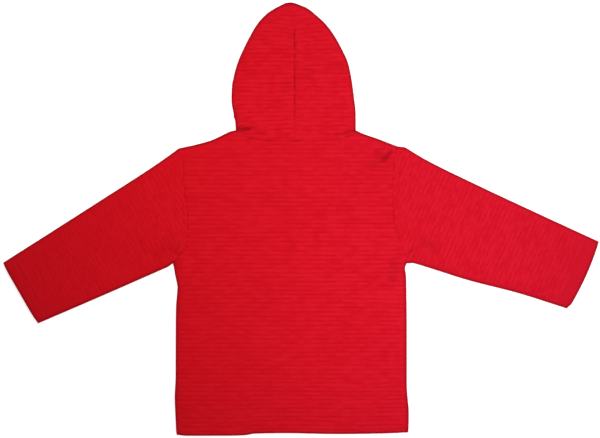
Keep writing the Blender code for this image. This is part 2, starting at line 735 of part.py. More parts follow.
def add_zip(parent):
    slider_y = HEM_Y + SLIDER_LEVEL
    plate_low = CHAIN_LOW - SEAM_GAP - PLATE
    hinge = Vector((CENTRE_X, slider_y, plate_low - BRIDGE_EYE / 2)) * MM
    post_start = SLIDER_LEVEL + SLIDER_LENGTH / 2 - POST_LENGTH - POST_POINT
    box_top = ZIP_START + ZIP_BOX
    foot = MOUND_LEVEL - MOUND_FLAT - MOUND_SLOPE
    levels = [box_top + SEAM_GAP] + even(5, foot, post_start - SEAM_GAP)
    add_strip("zip_chain", levels, CHAIN_LOW, CHAIN_HIGH, "metal", parent)
    add_strip("zip_box", [ZIP_START, box_top], CHAIN_LOW - BOX_BELOW, CHAIN_HIGH + BOX_ABOVE, "metal", parent)
    add_slider(parent, hinge)
    add_pull_tab(parent, hinge)


def build():
    clear_scene()
    jacket = bpy.data.objects.new("jacket", None)
    bpy.context.collection.objects.link(jacket)
    add_back(jacket)
    for side in ("left", "right"):
        add_front(side, jacket)
        add_sleeve(side, jacket)
        add_hood_half(side, jacket)
    add_zip(jacket)


build()
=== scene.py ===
"""Looks of a child's hooded winter jacket in thick ribbed knit, laid flat on its front.

Sizes are in millimetres here and become metres in the meshes. The surface it lies on is Z = 0,
+Y points from the hem to the hood and -X to the wearer's left. Each piece of cloth is a closed
thin shell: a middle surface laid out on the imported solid's form, thickened both ways, with the
ribs pressed into its outer side and its edges rounded off.

A level is a height above the back's hem, and across is a distance to the right of the centre
line, or below 0 to its left. A share goes from 0 to 1.
"""

import math
from collections import namedtuple
from functools import reduce

import bmesh
import bpy
import numpy as np
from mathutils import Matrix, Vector


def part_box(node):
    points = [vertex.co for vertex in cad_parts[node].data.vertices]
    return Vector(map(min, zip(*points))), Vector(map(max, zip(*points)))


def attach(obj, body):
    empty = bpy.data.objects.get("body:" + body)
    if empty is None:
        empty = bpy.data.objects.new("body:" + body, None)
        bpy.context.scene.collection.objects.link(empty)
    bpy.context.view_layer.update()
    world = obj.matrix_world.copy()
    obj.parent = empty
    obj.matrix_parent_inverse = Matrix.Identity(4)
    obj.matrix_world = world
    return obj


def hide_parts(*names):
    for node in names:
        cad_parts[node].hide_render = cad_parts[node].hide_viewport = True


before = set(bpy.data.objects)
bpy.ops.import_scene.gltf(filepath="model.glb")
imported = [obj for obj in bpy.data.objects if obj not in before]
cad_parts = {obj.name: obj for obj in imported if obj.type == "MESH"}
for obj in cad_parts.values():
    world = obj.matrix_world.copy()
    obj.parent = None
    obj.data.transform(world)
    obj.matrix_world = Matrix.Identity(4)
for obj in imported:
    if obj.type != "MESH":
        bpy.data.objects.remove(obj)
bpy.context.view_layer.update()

MM = 0.001

# ---- the jacket's own sizes
HEM_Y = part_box("back")[0].y / MM  # lowest edge of the back
CENTRE_X = sum(corner.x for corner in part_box("zip_chain")) / 2 / MM  # of the back and of the zip
SIGN = {"left": -1, "right": 1}  # of X on either side

WALL = 2.0  # thickness of the knit
HEM_WALL = 2.8  # and of a hem, where it is turned under and pressed
SEAM_PRESS = 0.30  # how far the rounded edges of joined pieces press into each other
CLOSED_PRESS = 0.60  # and how much more where their seam doesn't show
FOLD_RADIUS = 2.3  # outer radius of a folded side
FOLD_HEIGHT = 2 * FOLD_RADIUS
LOFT_HEIGHT = 7.4  # top of the upper layer away from its edges
ROLL_WIDTH = 17.0  # how far in from a folded side it reaches that height
LOFT_POWER = 2.2  # how fast it rises at first
HEM_DROP = 0.5  # how much lower it lies at a hem
BODY_HEM, CUFF_HEM = 38.0, 19.0  # depth of the turned cloth
NECK_LEVEL = 471.0  # level of the neck's corners
FRONT_NECK_DROP = 66.0  # from there to the lowest point of the front neckline
NECK_LEFT, NECK_RIGHT = 88.6, 96.6  # from the centre line to the neck's corners
NECK_HALF = {"left": NECK_LEFT, "right": NECK_RIGHT}
FRONT_HEM_RISE = 4.8  # level of the fronts' hem
HEM_STEP_FADE = 90.0  # level where the ribs no longer follow the steps of the back's hem
UNDERARM = 266.0  # level of the underarm
TIP = 446.0  # level of the shoulder tips


def table(columns, *rows):
    """Rows with named columns. The first column is the key of the others."""
    row = namedtuple("row", columns)
    return [row(*values) for values in rows]


SIDE_SEAMS = table(
    "level left right",
    (0, 178.4, 174.6), (1.2, 179.6, 176.4), (4, 180.2, 177.2), (18, 181, 178),
    (34, 181.7, 178), (58, 182.6, 176.2), (76, 181.8, 175.1), (90, 181.2, 175),
    (170, 181, 175), (200, 180.5, 174.8), (218, 179, 174.5), (229, 178.3, 174.4),
    (240, 180.2, 174.2), (250, 182.3, 173.4), (258, 183.5, 172.2), (UNDERARM, 185.4, 174.9),
)
ARMHOLES = table(
    "level left right",
    (UNDERARM, 185.4, 174.9), (273, 179.4, 174.6), (280, 174, 173.3), (287, 169.6, 170.2),
    (299, 165.2, 165), (322, 163.3, 158.2), (340, 164.2, 156.2), (368, 167.3, 154.5),
    (396, 170, 155.4), (424, 171.3, 157.6), (TIP, 168, 161),
)
BACK_HEM = table(
    "across level",
    (-178, 1.2), (-165, 0), (-100, 0.1), (-74, 0.9), (-61, 3.2), (-14, 4), (72, 2.6),
    (135, 3.5), (172, 4.9),
)
LEFT_SHOULDER = table(
    "across level",
    (-168, 445.1), (-158, 446.8), (-143, 450.6), (-127, 455.2), (-106, 464.8), (-96.5, 469.3),
    (-NECK_LEFT, NECK_LEVEL),
)
RIGHT_SHOULDER = table(
    "across level",
    (NECK_RIGHT, NECK_LEVEL), (103, 467.6), (115, 463), (130, 457.9), (144, 452.4),
    (153, 449), (161, TIP),
)
BACK_NECK = table(
    "across level",
    (-NECK_LEFT, NECK_LEVEL), (-69, 459.5), (-27, 454.8), (30, 454), (68, 456.5),
    (82, 461.5), (NECK_RIGHT, NECK_LEVEL),
)
# Levels of the hood are above the neck.
HOOD = table(
    "level left right seam opening",
    (0, NECK_LEFT, NECK_RIGHT, 2, 4.6), (10, 89.3, 96.6, 2, 6.2), (22, 90.5, 96.6, 2, 8.5),
    (33, 93.6, 96.1, 2, 10.3), (48, 95.3, 94.2, 2, 12.8), (66, 94.8, 92, 2, 13.8),
    (84, 91.6, 89.2, 2, 13.5), (105, 85.6, 84.3, 2, 11.2), (125, 76.9, 75.2, 2, 7.2),
    (146, 66.2, 63.5, 1.6, 0.15), (164, 55.3, 49.9, 0, 0.15), (179, 41.4, 33.6, -2, 0.15),
    (188, 27.9, 21.7, -5, 0.15), (195.5, 13, 3.5, -7, 0.15),
)
HOOD_ARCH = {"left": 4.0, "right": 1.5}  # how far the ribs rise to the seam near the base
CROWN = HOOD[-1].level
CROWN_SEAM_LEVEL = 140.0  # where the hood's face edges meet and are sewn
CROWN_PEAK, CROWN_PEAK_ACROSS, CROWN_PEAK_HALF = 1.6, -4.7, 9.0  # its small peak

SLEEVE_COLUMN_NAMES = "share top_x top_y under_x under_y"  # from the shoulder to the cuff
SLEEVES = {
    "left": table(
        SLEEVE_COLUMN_NAMES,
        (0, -180, 111.6, -198, -67.5), (0.030, -187.7, 110, -203.4, -71.6),
        (0.036, -188.9, 109.6, -204.4, -72.4), (0.042, -190.4, 108.5, -205.4, -72.9),
        (0.150, -218.5, 88.2, -222.5, -80.5), (0.500, -318, 23.8, -298, -113.7),
        (1, -459.5, -66.5, -405.5, -160),
    ),
    "right": table(
        SLEEVE_COLUMN_NAMES,
        (0, 149, 113, 163.5, -67.5), (0.036, 161.2, 111.2, 170.4, -66.9),
        (0.042, 162.9, 110.3, 171.5, -66.8), (0.060, 168, 107.1, 175.2, -67.6),
        (0.150, 192, 92.7, 194, -73.2), (0.400, 270.7, 53.8, 258.3, -93.5),
        (0.700, 365.1, 9.6, 335.4, -113.4), (1, 459.5, -34, 412.5, -138),
    ),
}
# How convex the cuff's edge is, how flat its middle stays, and how far its lower corner is rounded.
CUFFS = {"left": (1.4, 6, 0.0), "right": (3.6, 2, 2.4)}

# How plain a sleeve's ribs are near its cuff and near its shoulder, beside those of its middle.
SLEEVE_RIBS = {"left": (0.65, 1.5), "right": (0.80, 1.0)}
TIP_GAP = 4.0  # from its last row to the shoulder's tip

# The mound over the zip's slider: height, level of its middle, flat radius, width of its slope.
MOUND_HEIGHT, MOUND_LEVEL, MOUND_FLAT, MOUND_SLOPE = 3.2, 387.0, 22.0, 32.0
FRONT_EDGE = 4.6  # from the centre line to the edge of a front
TAPE_WIDTH_UNDER = 13.5  # how far in from there a front stays a single wall over the tape

# ---- ribs
BODY_RIB = 6.8  # from groove to groove
HOOD_RIB = 6.6
GROOVE_DEPTH, GROOVE_WIDTH = 0.24, 0.12  # narrow groove, in mm and in shares of a rib
CORD_DEPTH = 0.22  # how far a rib rounds down towards its grooves
# Where a mesh's rows lie in each rib: as usual, where folds cross the ribs, and underneath.
RIB_PHASES = (0.0, 0.1, 0.3, 0.5, 0.7, 0.9)
FINE_PHASES = (0.0, 0.08, 0.2, 0.35, 0.5, 0.65, 0.8, 0.92)
UNDER_PHASES = (0.0, 0.2, 0.5, 0.8)
EDGE_STEPS = np.array([0.0, 0.05, 0.2, 0.5, 0.9, 1.4])  # rows that round off a free edge
SEAM_ROUND = 0.85  # radius of a cloth edge
CLOTH_SEED, TAPE_SEED = 100, 300  # of the unevenness along the ribs

# Pitch, length of a rib's deeper and shallower stretches, how strongly it is pressed and given
# painted shade and sheen, how much that differs between the stretches, and how blotchy the cloth
# is.
Ribs = namedtuple("Ribs", "pitch stretch relief contrast uneven blotches")
RIBS = {
    "body": Ribs(BODY_RIB, 14.0, 0.90, 0.80, 1.3, 0.03),
    "left_sleeve": Ribs(BODY_RIB, 8.0, 0.22, 0.33, 1.9, 0.038),
    "right_sleeve": Ribs(BODY_RIB, 8.0, 0.52, 0.62, 1.9, 0.065),
    "hood": Ribs(HOOD_RIB, 13.0, 0.93, 0.83, 1.35, 0.03),
}

# ---- folds of the upper layer
# Soft troughs and ridges: middle, direction in degrees from +X, length, width, height (negative
# for a trough), how far its middle bows to the left of its direction.
FOLDS = table(
    "x y angle length width height bow",
    (-90, 139, -2, 28, 3, -3.6, 0.3),  # left end of the hood's base
    (-73, 140.8, 5, 22, 2.1, -1.9, 0),
    (-78, 144, -3, 34, 3, 1.2, 1),
    (-79, 135, -2, 17, 1.8, 1.1, 0),
    (-94, 135.5, -6, 9, 1.2, -0.8, 0),
    (-62, 131, -12, 30, 2, -1.1, 0.8),
    (60, 132.8, 6, 26, 2, -1.5, -1),  # right end of the hood's base
    (76, 136.2, 17, 22, 1.8, -2.2, -0.8),
    (70, 140.5, 12, 32, 3.2, 1.2, -1.2),
    (74, 129, 48, 12, 1.5, -1, 0),  # gathers below it
    (79, 131.5, 50, 12, 1.5, -1, 0),
    (68, 127, 42, 12, 1.6, -0.8, 0),
    (132, 98, 50, 30, 3.6, -2.6, -1.4),  # right shoulder
    (141, 93, 56, 28, 3.4, 1.5, -1),
    (122, 108, 38, 26, 4, -0.8, 0),
    (118, 90, 55, 42, 9, -0.9, 0),
    (-210, -49, 32, 56, 13, -0.8, 3),  # left underarm
    (-192, -46, 62, 24, 2.6, -1.3, -1),
    (-187, -44, 64, 18, 2, 0.9, -1),
    (-246, -42, -70, 30, 3.2, -0.9, 1),
    (-198, -58, 30, 12, 4, 1, 0),
    (198, -37, -32, 52, 9, -0.7, -3),  # right underarm
    (170, -48, 45, 26, 2.4, -1.3, 0),
    (174, -57, 70, 9, 1.6, -1, 0),
    (142, -82, 84, 46, 9, -1, 0),  # right side below the underarm
    (139, -71, 46, 9, 1.8, -1, 0),
    (-183, -88, 88, 46, 5, 0.7, 0),  # left side below the underarm
    (-9, -148, 88, 11, 1.6, -0.5, 0),  # dimple low in the middle
    (-22, 206, 74, 26, 9, -0.5, 0),  # soft hollows of the hood
    (12, 222, 80, 24, 8, -0.6, 0),
    (60, 238, 40, 18, 7, -0.5, 0),
)

# ---- unevenness, seams and painted shade
# Slow unevenness as layers of noise: how much, size of its cells in two directions, and seed.
UPPER_WAVES = [(0.45, 70, 55, 3), (0.25, 31, 27, 4)]
BACK_WOBBLE = [(0.9, 90, 40, 11), (0.35, 21, 9, 12)]
SLEEVE_WOBBLE = [(0.8, 40, 60, 17)]
SLEEVE_DRIFT = [(1.3, 34, 26, 18), (0.5, 9, 11, 19)]
HOOD_TILT = [(1.5, 55, 30, 23), (0.5, 21, 9, 24)]
SEAM_WAVES = [(0.45, 7, 7, 31)]
SEAM_SHADE_WAVES = [(0.8, 7, 6, 37)]

TURN_RADIUS = 1.7  # of a layer where it bends to a sewn outer edge
UPPER_EDGE, LOWER_EDGE = 2.45, 2.15  # where the two layers meet there
SEAM_DIP, SEAM_DIP_WIDTH = 0.6, 3.0  # beside a plain seam
SEAM_RIDGE, SEAM_RIDGE_PLACE, SEAM_RIDGE_WIDTH = 0.3, 5.5, 3.0  # over the seam allowance
STITCH_DIP = 0.35  # how far the stitches pull the cloth down
HEM_STITCH, CUFF_STITCH = 2.0, 1.5  # from the top of the turned cloth to its stitches
HEM_DIP_WIDTH, CUFF_DIP_WIDTH = 1.3, 1.2

# Painted shade on outer edges, along seams and in troughs: how much darker, and over which width.
# The power says how sharply the shade of the edges ends. A hollow is deep from DEEP_HOLLOW on.
EDGE_SHADE, EDGE_SHADE_WIDTH, EDGE_SHADE_POWER = 0.38, 3.95, 3.5
SEAM_SHADE, SEAM_SHADE_WIDTH = 0.48, 1.3
HOLLOW_SHADE, DEEP_HOLLOW = 0.42, 3.6


# ---- curves
def smooth(t):
    """0 up to t = 0, 1 from t = 1 on, and an even bend between them."""
    t = np.clip(t, 0.0, 1.0)
    return t * t * (3.0 - 2.0 * t)


def lerp(a, b, t):
    return a + (b - a) * t


def bell(offset, width):
    """1 at offset 0, falling off on both sides over about width."""
    return np.exp(-((offset / width) ** 2))


def least(*values):
    return reduce(np.minimum, values)


def noise(x, y, seed):
    """Smooth noise from -1 to 1, with a lattice cell for each unit."""
    grid = np.random.default_rng(seed).uniform(-1, 1, (256, 256))
    i, j = np.floor(x).astype(int), np.floor(y).astype(int)
    u, v = smooth(x - i), smooth(y - j)
    low = lerp(grid[i & 255, j & 255], grid[(i + 1) & 255, j & 255], u)
    high = lerp(grid[i & 255, (j + 1) & 255], grid[(i + 1) & 255, (j + 1) & 255], u)
    return lerp(low, high, v)


def waves(layers, x, y):
    return sum(much * noise(x / cell, y / other, seed) for much, cell, other, seed in layers)


def column(rows, name, key):
    """A smooth curve through a named column of a table, at places in its first column. It never
    overshoots."""
    keys, values = np.array([(row[0], getattr(row, name)) for row in rows], float).T
    key = np.clip(key, keys[0], keys[-1])
    k = np.clip(np.searchsorted(keys, key, side="right") - 1, 0, len(keys) - 2)
    widths = np.diff(keys)
    slopes = np.diff(values) / widths
    before, after = slopes[:-1], slopes[1:]
    level = before * after <= 0
    mean = 2 * before * after / np.where(level, 1.0, before + after)
    tangents = np.concatenate([slopes[:1], np.where(level, 0.0, mean), slopes[-1:]])
    t = (key - keys[k]) / widths[k]
    return (
        values[k] * (1 + 2 * t) * (1 - t) ** 2
        + values[k + 1] * t * t * (3 - 2 * t)
        + widths[k] * (tangents[k] * t * (1 - t) ** 2 - tangents[k + 1] * t * t * (1 - t))
    )


# ---- outline
def side_x(side, level):
    """X of the side seam or the armhole seam."""
    level = np.asarray(level, float)
    below, above = (column(rows, side, level) for rows in (SIDE_SEAMS, ARMHOLES))
    return CENTRE_X + SIGN[side] * np.where(level < UNDERARM, below, above)


def front_neck_level(across):
    half = np.where(across < 0, NECK_LEFT, NECK_RIGHT)
    share = np.clip(np.abs(across) / half, 0.0, 1.0)
    return NECK_LEVEL - FRONT_NECK_DROP * np.sqrt(1.0 - share * share)


def shoulder_level(across):
    left, right = (column(rows, "level", across) for rows in (LEFT_SHOULDER, RIGHT_SHOULDER))
    return np.where(across < 0, left, right)


def sleeve_edge(side, edge, share):
    """X and Y of a sleeve's top or under edge, from the shoulder to the cuff."""
    return tuple(column(SLEEVES[side], edge + axis, share) for axis in ("_x", "_y"))


def neck_seam(across):
    """How plainly the neck seam shows: less right of the middle, not under the left crease."""
    return smooth((across + 77) / 9) * (1 - 0.65 * smooth((across - 30) / 20))


def armhole_seam(side, level):
    """How plainly it shows: less below the shoulder's tip and at the right underarm."""
    low = 0.3 + 0.7 * smooth((level - 292) / 30) if side == "right" else 1.0
    patchy = np.clip(0.85 + 0.6 * noise(level / 5, 0.0, 43), 0.3, 1.3)
    return low * patchy * (1 - 0.75 * smooth((level - 414) / 14))


def on_side_seam(level):
    """1 along the side seam, 0 along the armhole."""
    return 1.0 - smooth((level - UNDERARM + 6) / 12)


# ---- height of the upper layer
def fold_lines():
    """The folded outer edges of the laid-out jacket, as arrays of (x, y)."""
    lines = []
    levels = np.linspace(0, UNDERARM, 24)
    shares = np.linspace(0, 1, 28)
    for side in ("left", "right"):
        lines.append((side_x(side, levels), HEM_Y + levels))
        lines += [sleeve_edge(side, edge, shares) for edge in ("top", "under")]
    for points in (LEFT_SHOULDER, RIGHT_SHOULDER):
        across = np.linspace(points[0].across, points[-1].across, 16)
        lines.append((CENTRE_X + across, HEM_Y + column(points, "level", across)))
    up = np.linspace(0, CROWN, 50)
    left = CENTRE_X - column(HOOD, "left", up)
    right = CENTRE_X + column(HOOD, "right", up[::-1])
    hood_y = HEM_Y + NECK_LEVEL + np.concatenate([up, up[::-1]])
    lines.append((np.concatenate([left, right]), hood_y))
    return lines


FOLD_LINES = fold_lines()


def fold_distance(x, y):
    """Distance from the nearest folded outer edge."""
    nearest = np.full(np.shape(x), np.inf)
    for line_x, line_y in FOLD_LINES:
        for ax, ay, bx, by in zip(line_x, line_y, line_x[1:], line_y[1:]):
            dx, dy = bx - ax, by - ay
            t = np.clip(((x - ax) * dx + (y - ay) * dy) / (dx * dx + dy * dy), 0, 1)
            nearest = np.minimum(nearest, np.hypot(x - ax - t * dx, y - ay - t * dy))
    return nearest


def folds(x, y):
    """Height that the listed folds add. They fade out towards both ends."""
    total = np.zeros(np.shape(x))
    for f in FOLDS:
        cos, sin = math.cos(math.radians(f.angle)), math.sin(math.radians(f.angle))
        along = ((x - f.x) * cos + (y - f.y) * sin) / (f.length / 2)
        side = (y - f.y) * cos - (x - f.x) * sin
        side = side - f.bow * (1 - along * along)
        fade = 1 - smooth((np.abs(along) - 0.45) / 0.55)
        total += f.height * bell(side, f.width) * fade
    return total


def hollows(x, y):
    """How deep a point lies in the listed troughs, as a share."""
    return np.clip(-folds(x, y) / DEEP_HOLLOW, 0.0, 1.0)


def loft(distance):
    """0 on the folded edges, 1 where the upper layer lies level."""
    t = np.clip((distance - FOLD_RADIUS) / ROLL_WIDTH, 0.0, 1.0)
    return 1.0 - (1.0 - t) ** LOFT_POWER


def upper_top(x, y, distance, hem_distance):
    """Top of the upper layer. hem_distance is how far a point is from its hem or cuff."""
    rise = loft(distance)
    drop = HEM_DROP * (1.0 - smooth(hem_distance / BODY_HEM))
    swell = LOFT_HEIGHT - FOLD_HEIGHT - drop + waves(UPPER_WAVES, x, y)
    return FOLD_HEIGHT + swell * rise + folds(x, y) * (0.45 + 0.55 * rise)


def mound(x, y):
    """Height that the zip's slider adds under both layers."""
    distance = np.hypot(x - CENTRE_X, y - HEM_Y - MOUND_LEVEL)
    return MOUND_HEIGHT * (1.0 - smooth((distance - MOUND_FLAT) / MOUND_SLOPE))


def cloth_thickness(distance, hem_distance, hem_depth):
    turned = 1.0 - smooth((hem_distance - hem_depth + 2.0) / 4.0)
    return lerp(WALL, HEM_WALL, turned * loft(distance))


# ---- grids
def rib_rows(start, end, pitch, phases):
    """Places across the ribs from start to end, with a row in each groove and rounded ends."""
    ribs = range(math.floor(start / pitch), math.ceil(end / pitch) + 1)
    inside = [(k + phase) * pitch for k in ribs for phase in phases]
    reach = EDGE_STEPS[-1] + 0.3
    inside = [r for r in inside if start + reach < r < end - reach]
    return np.concatenate([start + EDGE_STEPS, inside, (end - EDGE_STEPS)[::-1]])


def places(width, count, start_edge=True, end_edge=True):
    """Distances from 0 to each row's width, closer together at a free edge, as (rows, columns)."""
    width = np.asarray(width, float)[:, None]
    squeeze = np.minimum(1.0, width / 16.0)
    head = (EDGE_STEPS if start_edge else EDGE_STEPS[:1]) * squeeze
    tail = width - (EDGE_STEPS if end_edge else EDGE_STEPS[:1])[::-1] * squeeze
    share = np.linspace(0, 1, count + 2)[1:-1]
    return np.hstack([head, lerp(head[:, -1:], tail[:, :1], share), tail])


def round_off(distance, radius):
    """0 at an edge, 1 from radius on, along a quarter circle."""
    t = np.clip(distance / radius, 0.0, 1.0)
    return np.sqrt(1.0 - (1.0 - t) ** 2)


def turn(z, end, edges):
    """Middle surface bent towards height end at sewn outer edges. edges are (distance, share)."""
    keep = 1.0
    for distance, share in edges:
        keep = keep * (1.0 - share * (1.0 - round_off(distance, TURN_RADIUS)))
    return end + (z - end) * keep


def seam_dip(edges, x, y):
    """Height lost beside seams, given as (distance, share), and a ridge over their allowance."""
    total = 0.0
    uneven = 1.0 + waves(SEAM_WAVES, x, y)
    for distance, share in edges:
        dip = -SEAM_DIP * (1.0 - smooth(distance / SEAM_DIP_WIDTH))
        dip = dip + SEAM_RIDGE * bell(distance - SEAM_RIDGE_PLACE, SEAM_RIDGE_WIDTH)
        total = total + share * dip * uneven
    return total


def stitch_dip(hem_distance, stitch_level, width, distance):
    """Height lost under a row of stitches."""
    return STITCH_DIP * bell(hem_distance - stitch_level, width) * loft(distance)


def cloth_shade(x, y, outer_edge, seams):
    """Share of its own colour that the cloth keeps under the painted shade of outer edges, troughs
    and seams.
    """
    shade = 1.0 - EDGE_SHADE * np.exp(-((outer_edge / EDGE_SHADE_WIDTH) ** EDGE_SHADE_POWER))
    shade = shade * (1.0 - HOLLOW_SHADE * hollows(x, y))
    uneven = np.clip(0.6 + waves(SEAM_SHADE_WAVES, x, y), 0.15, 1.2)
    for distance, share in seams:
        shade = shade * (1.0 - SEAM_SHADE * share * uneven * bell(distance, SEAM_SHADE_WIDTH))
    return shade


# ---- panels
# The middle surface of a piece, as arrays with a row for each place across the ribs: its rows'
# distance from the hem, its points, thickness, places along and across the ribs, distance from
# a free edge, how far the ribs are pressed in, and the share of colour kept under painted shade.
Panel = namedtuple("Panel", "rows x y z thickness along across edge rib shade")

# Up to these levels the rows of the back and the fronts are straight.
BACK_STRAIGHT, FRONT_STRAIGHT = 330.0, 300.0
# Columns of the meshes, besides those that round off the edges.
BACK_COLUMNS, FRONT_COLUMNS = 156, 56
SLEEVE_COLUMNS, HOOD_COLUMNS = (64, 34), (44, 30)  # of the upper and the lower layer


def rib_fade(distance):
    """The ribs are pressed flat on the folded edges."""
    return 0.25 + 0.75 * smooth((distance - 2.0) / 9.0)


def spread(v, straight, top):
    """Levels of rows that are straight up to a level and end along the piece's top."""
    return v + smooth((v - straight) / (TIP - straight)) * (top - TIP)


def back_ribs(distance, across, v):
    """Plainest at the upper right, as in the photo."""
    rib = rib_fade(distance) * lerp(0.82, 1.0, smooth((across + 80) / 200))
    return rib * lerp(0.86, 1.0, smooth((v - 100) / 160))


def back_panel():
    low = [r for r in rib_rows(0, TIP, BODY_RIB, RIB_PHASES) if r < BACK_STRAIGHT]
    high = [r for r in rib_rows(0, TIP, BODY_RIB, FINE_PHASES) if r >= BACK_STRAIGHT]
    v = np.array(low + high)[:, None]
    left, right = side_x("left", v[:, 0]), side_x("right", v[:, 0])
    from_left = places(right - left, BACK_COLUMNS)
    x = left[:, None] + from_left
    across = x - CENTRE_X
    neck = column(BACK_NECK, "level", across)
    neck = neck + SEAM_PRESS + CLOSED_PRESS * (1 - neck_seam(across))
    in_neck = (across > -NECK_LEFT) & (across < NECK_RIGHT)
    top = np.where(in_neck, neck, shoulder_level(across))
    level = spread(v, BACK_STRAIGHT, top)
    rise = column(BACK_HEM, "level", across)
    wobble = waves(BACK_WOBBLE, x, level) * smooth(v / 30) * smooth((TIP - v) / 30)
    y = HEM_Y + level + rise * (1 - smooth(v / HEM_STEP_FADE)) + wobble

    distance = fold_distance(x, y)
    thickness = cloth_thickness(distance, v, BODY_HEM)
    to_left, to_right, to_top = from_left, from_left[:, -1:] - from_left, top - level
    below = on_side_seam(v)
    neck_share = smooth((across + NECK_LEFT + 3) / 6) * smooth((NECK_RIGHT + 3 - across) / 6)
    seams = [
        (to_left, (1 - below) * armhole_seam("left", v)),
        (to_right, (1 - below) * armhole_seam("right", v)),
        (to_top, neck_share * neck_seam(across)),
    ]
    z = upper_top(x, y, distance, v) - thickness / 2 + seam_dip(seams, x, y)
    z = turn(z, UPPER_EDGE, [(to_left, below), (to_right, below), (to_top, 1 - neck_share)])
    z = z - stitch_dip(v, BODY_HEM - HEM_STITCH, HEM_DIP_WIDTH, distance)
    edge = least(to_left, to_right, to_top, v)
    rib = back_ribs(distance, across, v)
    shade = cloth_shade(x, y, least(distance, v), seams)
    return Panel(v[:, 0], x, y, z, thickness, across, level, edge, rib, shade)


def front_panel(side):
    v = rib_rows(FRONT_HEM_RISE, TIP, BODY_RIB, UNDER_PHASES)[:, None]
    outer = side_x(side, v[:, 0])
    inner = CENTRE_X + SIGN[side] * FRONT_EDGE
    from_side = places(np.abs(outer - inner), FRONT_COLUMNS)
    x = outer[:, None] - SIGN[side] * from_side
    across = x - CENTRE_X
    neck = front_neck_level(across) + SEAM_PRESS
    top = np.where(np.abs(across) < NECK_HALF[side], neck, shoulder_level(across))
    level = spread(v, FRONT_STRAIGHT, top)
    y = HEM_Y + level

    distance = fold_distance(x, y)
    rise = v - FRONT_HEM_RISE
    to_zip, to_top = from_side[:, -1:] - from_side, top - level
    beside_tape = smooth((to_zip - TAPE_WIDTH_UNDER) / 6)
    thickness = lerp(WALL, cloth_thickness(distance, rise, BODY_HEM), beside_tape)
    below = on_side_seam(v)
    neck_share = smooth((NECK_HALF[side] + 3 - np.abs(across)) / 6)
    z = thickness / 2 + STITCH_DIP * bell(rise - BODY_HEM + HEM_STITCH, HEM_DIP_WIDTH)
    z = turn(z, LOWER_EDGE, [(from_side, below), (to_top, 1 - neck_share)])
    edge = least(from_side, to_zip, to_top, rise)
    seams = [(from_side, 1 - below), (to_top, neck_share)]
    shade = cloth_shade(x, y, least(distance, rise), seams)
    return Panel(rise[:, 0], x, y, z, thickness, across, level, edge, rib_fade(distance), shade)


def fold_arc():
    """Across and up from the centre of a folded edge's half circle, from the upper layer down."""
    angles = np.radians([67.5, 45, 22.5, 0, -22.5, -45, -67.5])
    radius = FOLD_RADIUS - WALL / 2
    return radius * np.cos(angles), FOLD_RADIUS + radius * np.sin(angles)


def folded_columns(starts, ends, counts):
    """Places from where each layer starts out to the folded side, over the upper layer, round
    the fold and back in the lower layer, with 1, 0 or -1 for the layer they are in."""
    upper, lower = (
        start[:, None] + places(ends - FOLD_RADIUS - start, count, end_edge=False)
        for start, count in zip(starts, counts)
    )
    parts = upper, ends[:, None] - FOLD_RADIUS + fold_arc()[0], lower[:, ::-1]
    return np.hstack(parts), np.repeat([1, 0, -1], [part.shape[1] for part in parts])[None]


def by_layer(layer, upper, arc, lower):
    return np.where(layer > 0, upper, np.where(layer < 0, lower, arc))


def folded_height(layer, upper, thickness, edges):
    """Middle surface of a folded piece, from that of its upper layer. edges are its sewn ones."""
    arc = np.zeros_like(upper)
    arc[:, layer[0] == 0] = fold_arc()[1]
    lower = turn(thickness / 2, LOWER_EDGE, edges)
    return by_layer(layer, turn(upper, UPPER_EDGE, edges), arc, lower)


def along_edge(points, origin, direction):
    """Points of an edge, sorted by their place along a direction, with those places."""
    place = (points - origin) @ direction
    order = np.argsort(place)
    return place[order], points[order]


def on_edge(edge, place):
    keys, points = edge
    return np.stack([np.interp(place, keys, points[:, k]) for k in (0, 1)], axis=1)


def sleeve_outline(side):
    """The direction up the arm, and the sleeve's upper edge, underarm seam and armhole edge."""
    shares, levels = np.linspace(0, 1, 200), np.linspace(UNDERARM, TIP, 200)
    top, under = (np.stack(sleeve_edge(side, e, shares), 1) for e in ("top", "under"))
    origin, down = top[-1], under[-1] - top[-1]  # the cuff's upper corner, and along its edge
    up_arm = SIGN[side] * np.array([down[1], -down[0]]) / np.linalg.norm(down)
    press = SEAM_PRESS * (1.0 + 0.9 * noise(levels / 9, 0.0, 41 + SIGN[side]))
    press = press + CLOSED_PRESS * (1 - np.minimum(armhole_seam(side, levels), 1))
    hole = np.stack([side_x(side, levels) - SIGN[side] * press, HEM_Y + levels], 1)
    return up_arm, *(along_edge(points, origin, up_arm) for points in (top, under, hole))


def cuff_bulge(side, share, rows):
    """How far the cuff's edge stands out from the straight line between its corners."""
    convex, flatness, corner = CUFFS[side]
    bulge = convex * (1 - np.abs(2 * share - 1) ** flatness)
    return (bulge - corner * smooth((share - 0.91) / 0.09)) * (1 - smooth(rows / 40))


def sleeve_ribs(side, distance, rows):
    """None show in the turned cuff."""
    at_cuff, at_shoulder = SLEEVE_RIBS[side]
    rib = rib_fade(distance) * smooth((rows - CUFF_HEM + 1) / 5)
    rib = rib * lerp(at_cuff, 1.0, smooth((rows - CUFF_HEM) / 70))
    return rib * lerp(1.0, at_shoulder, smooth((rows - 170) / 70))


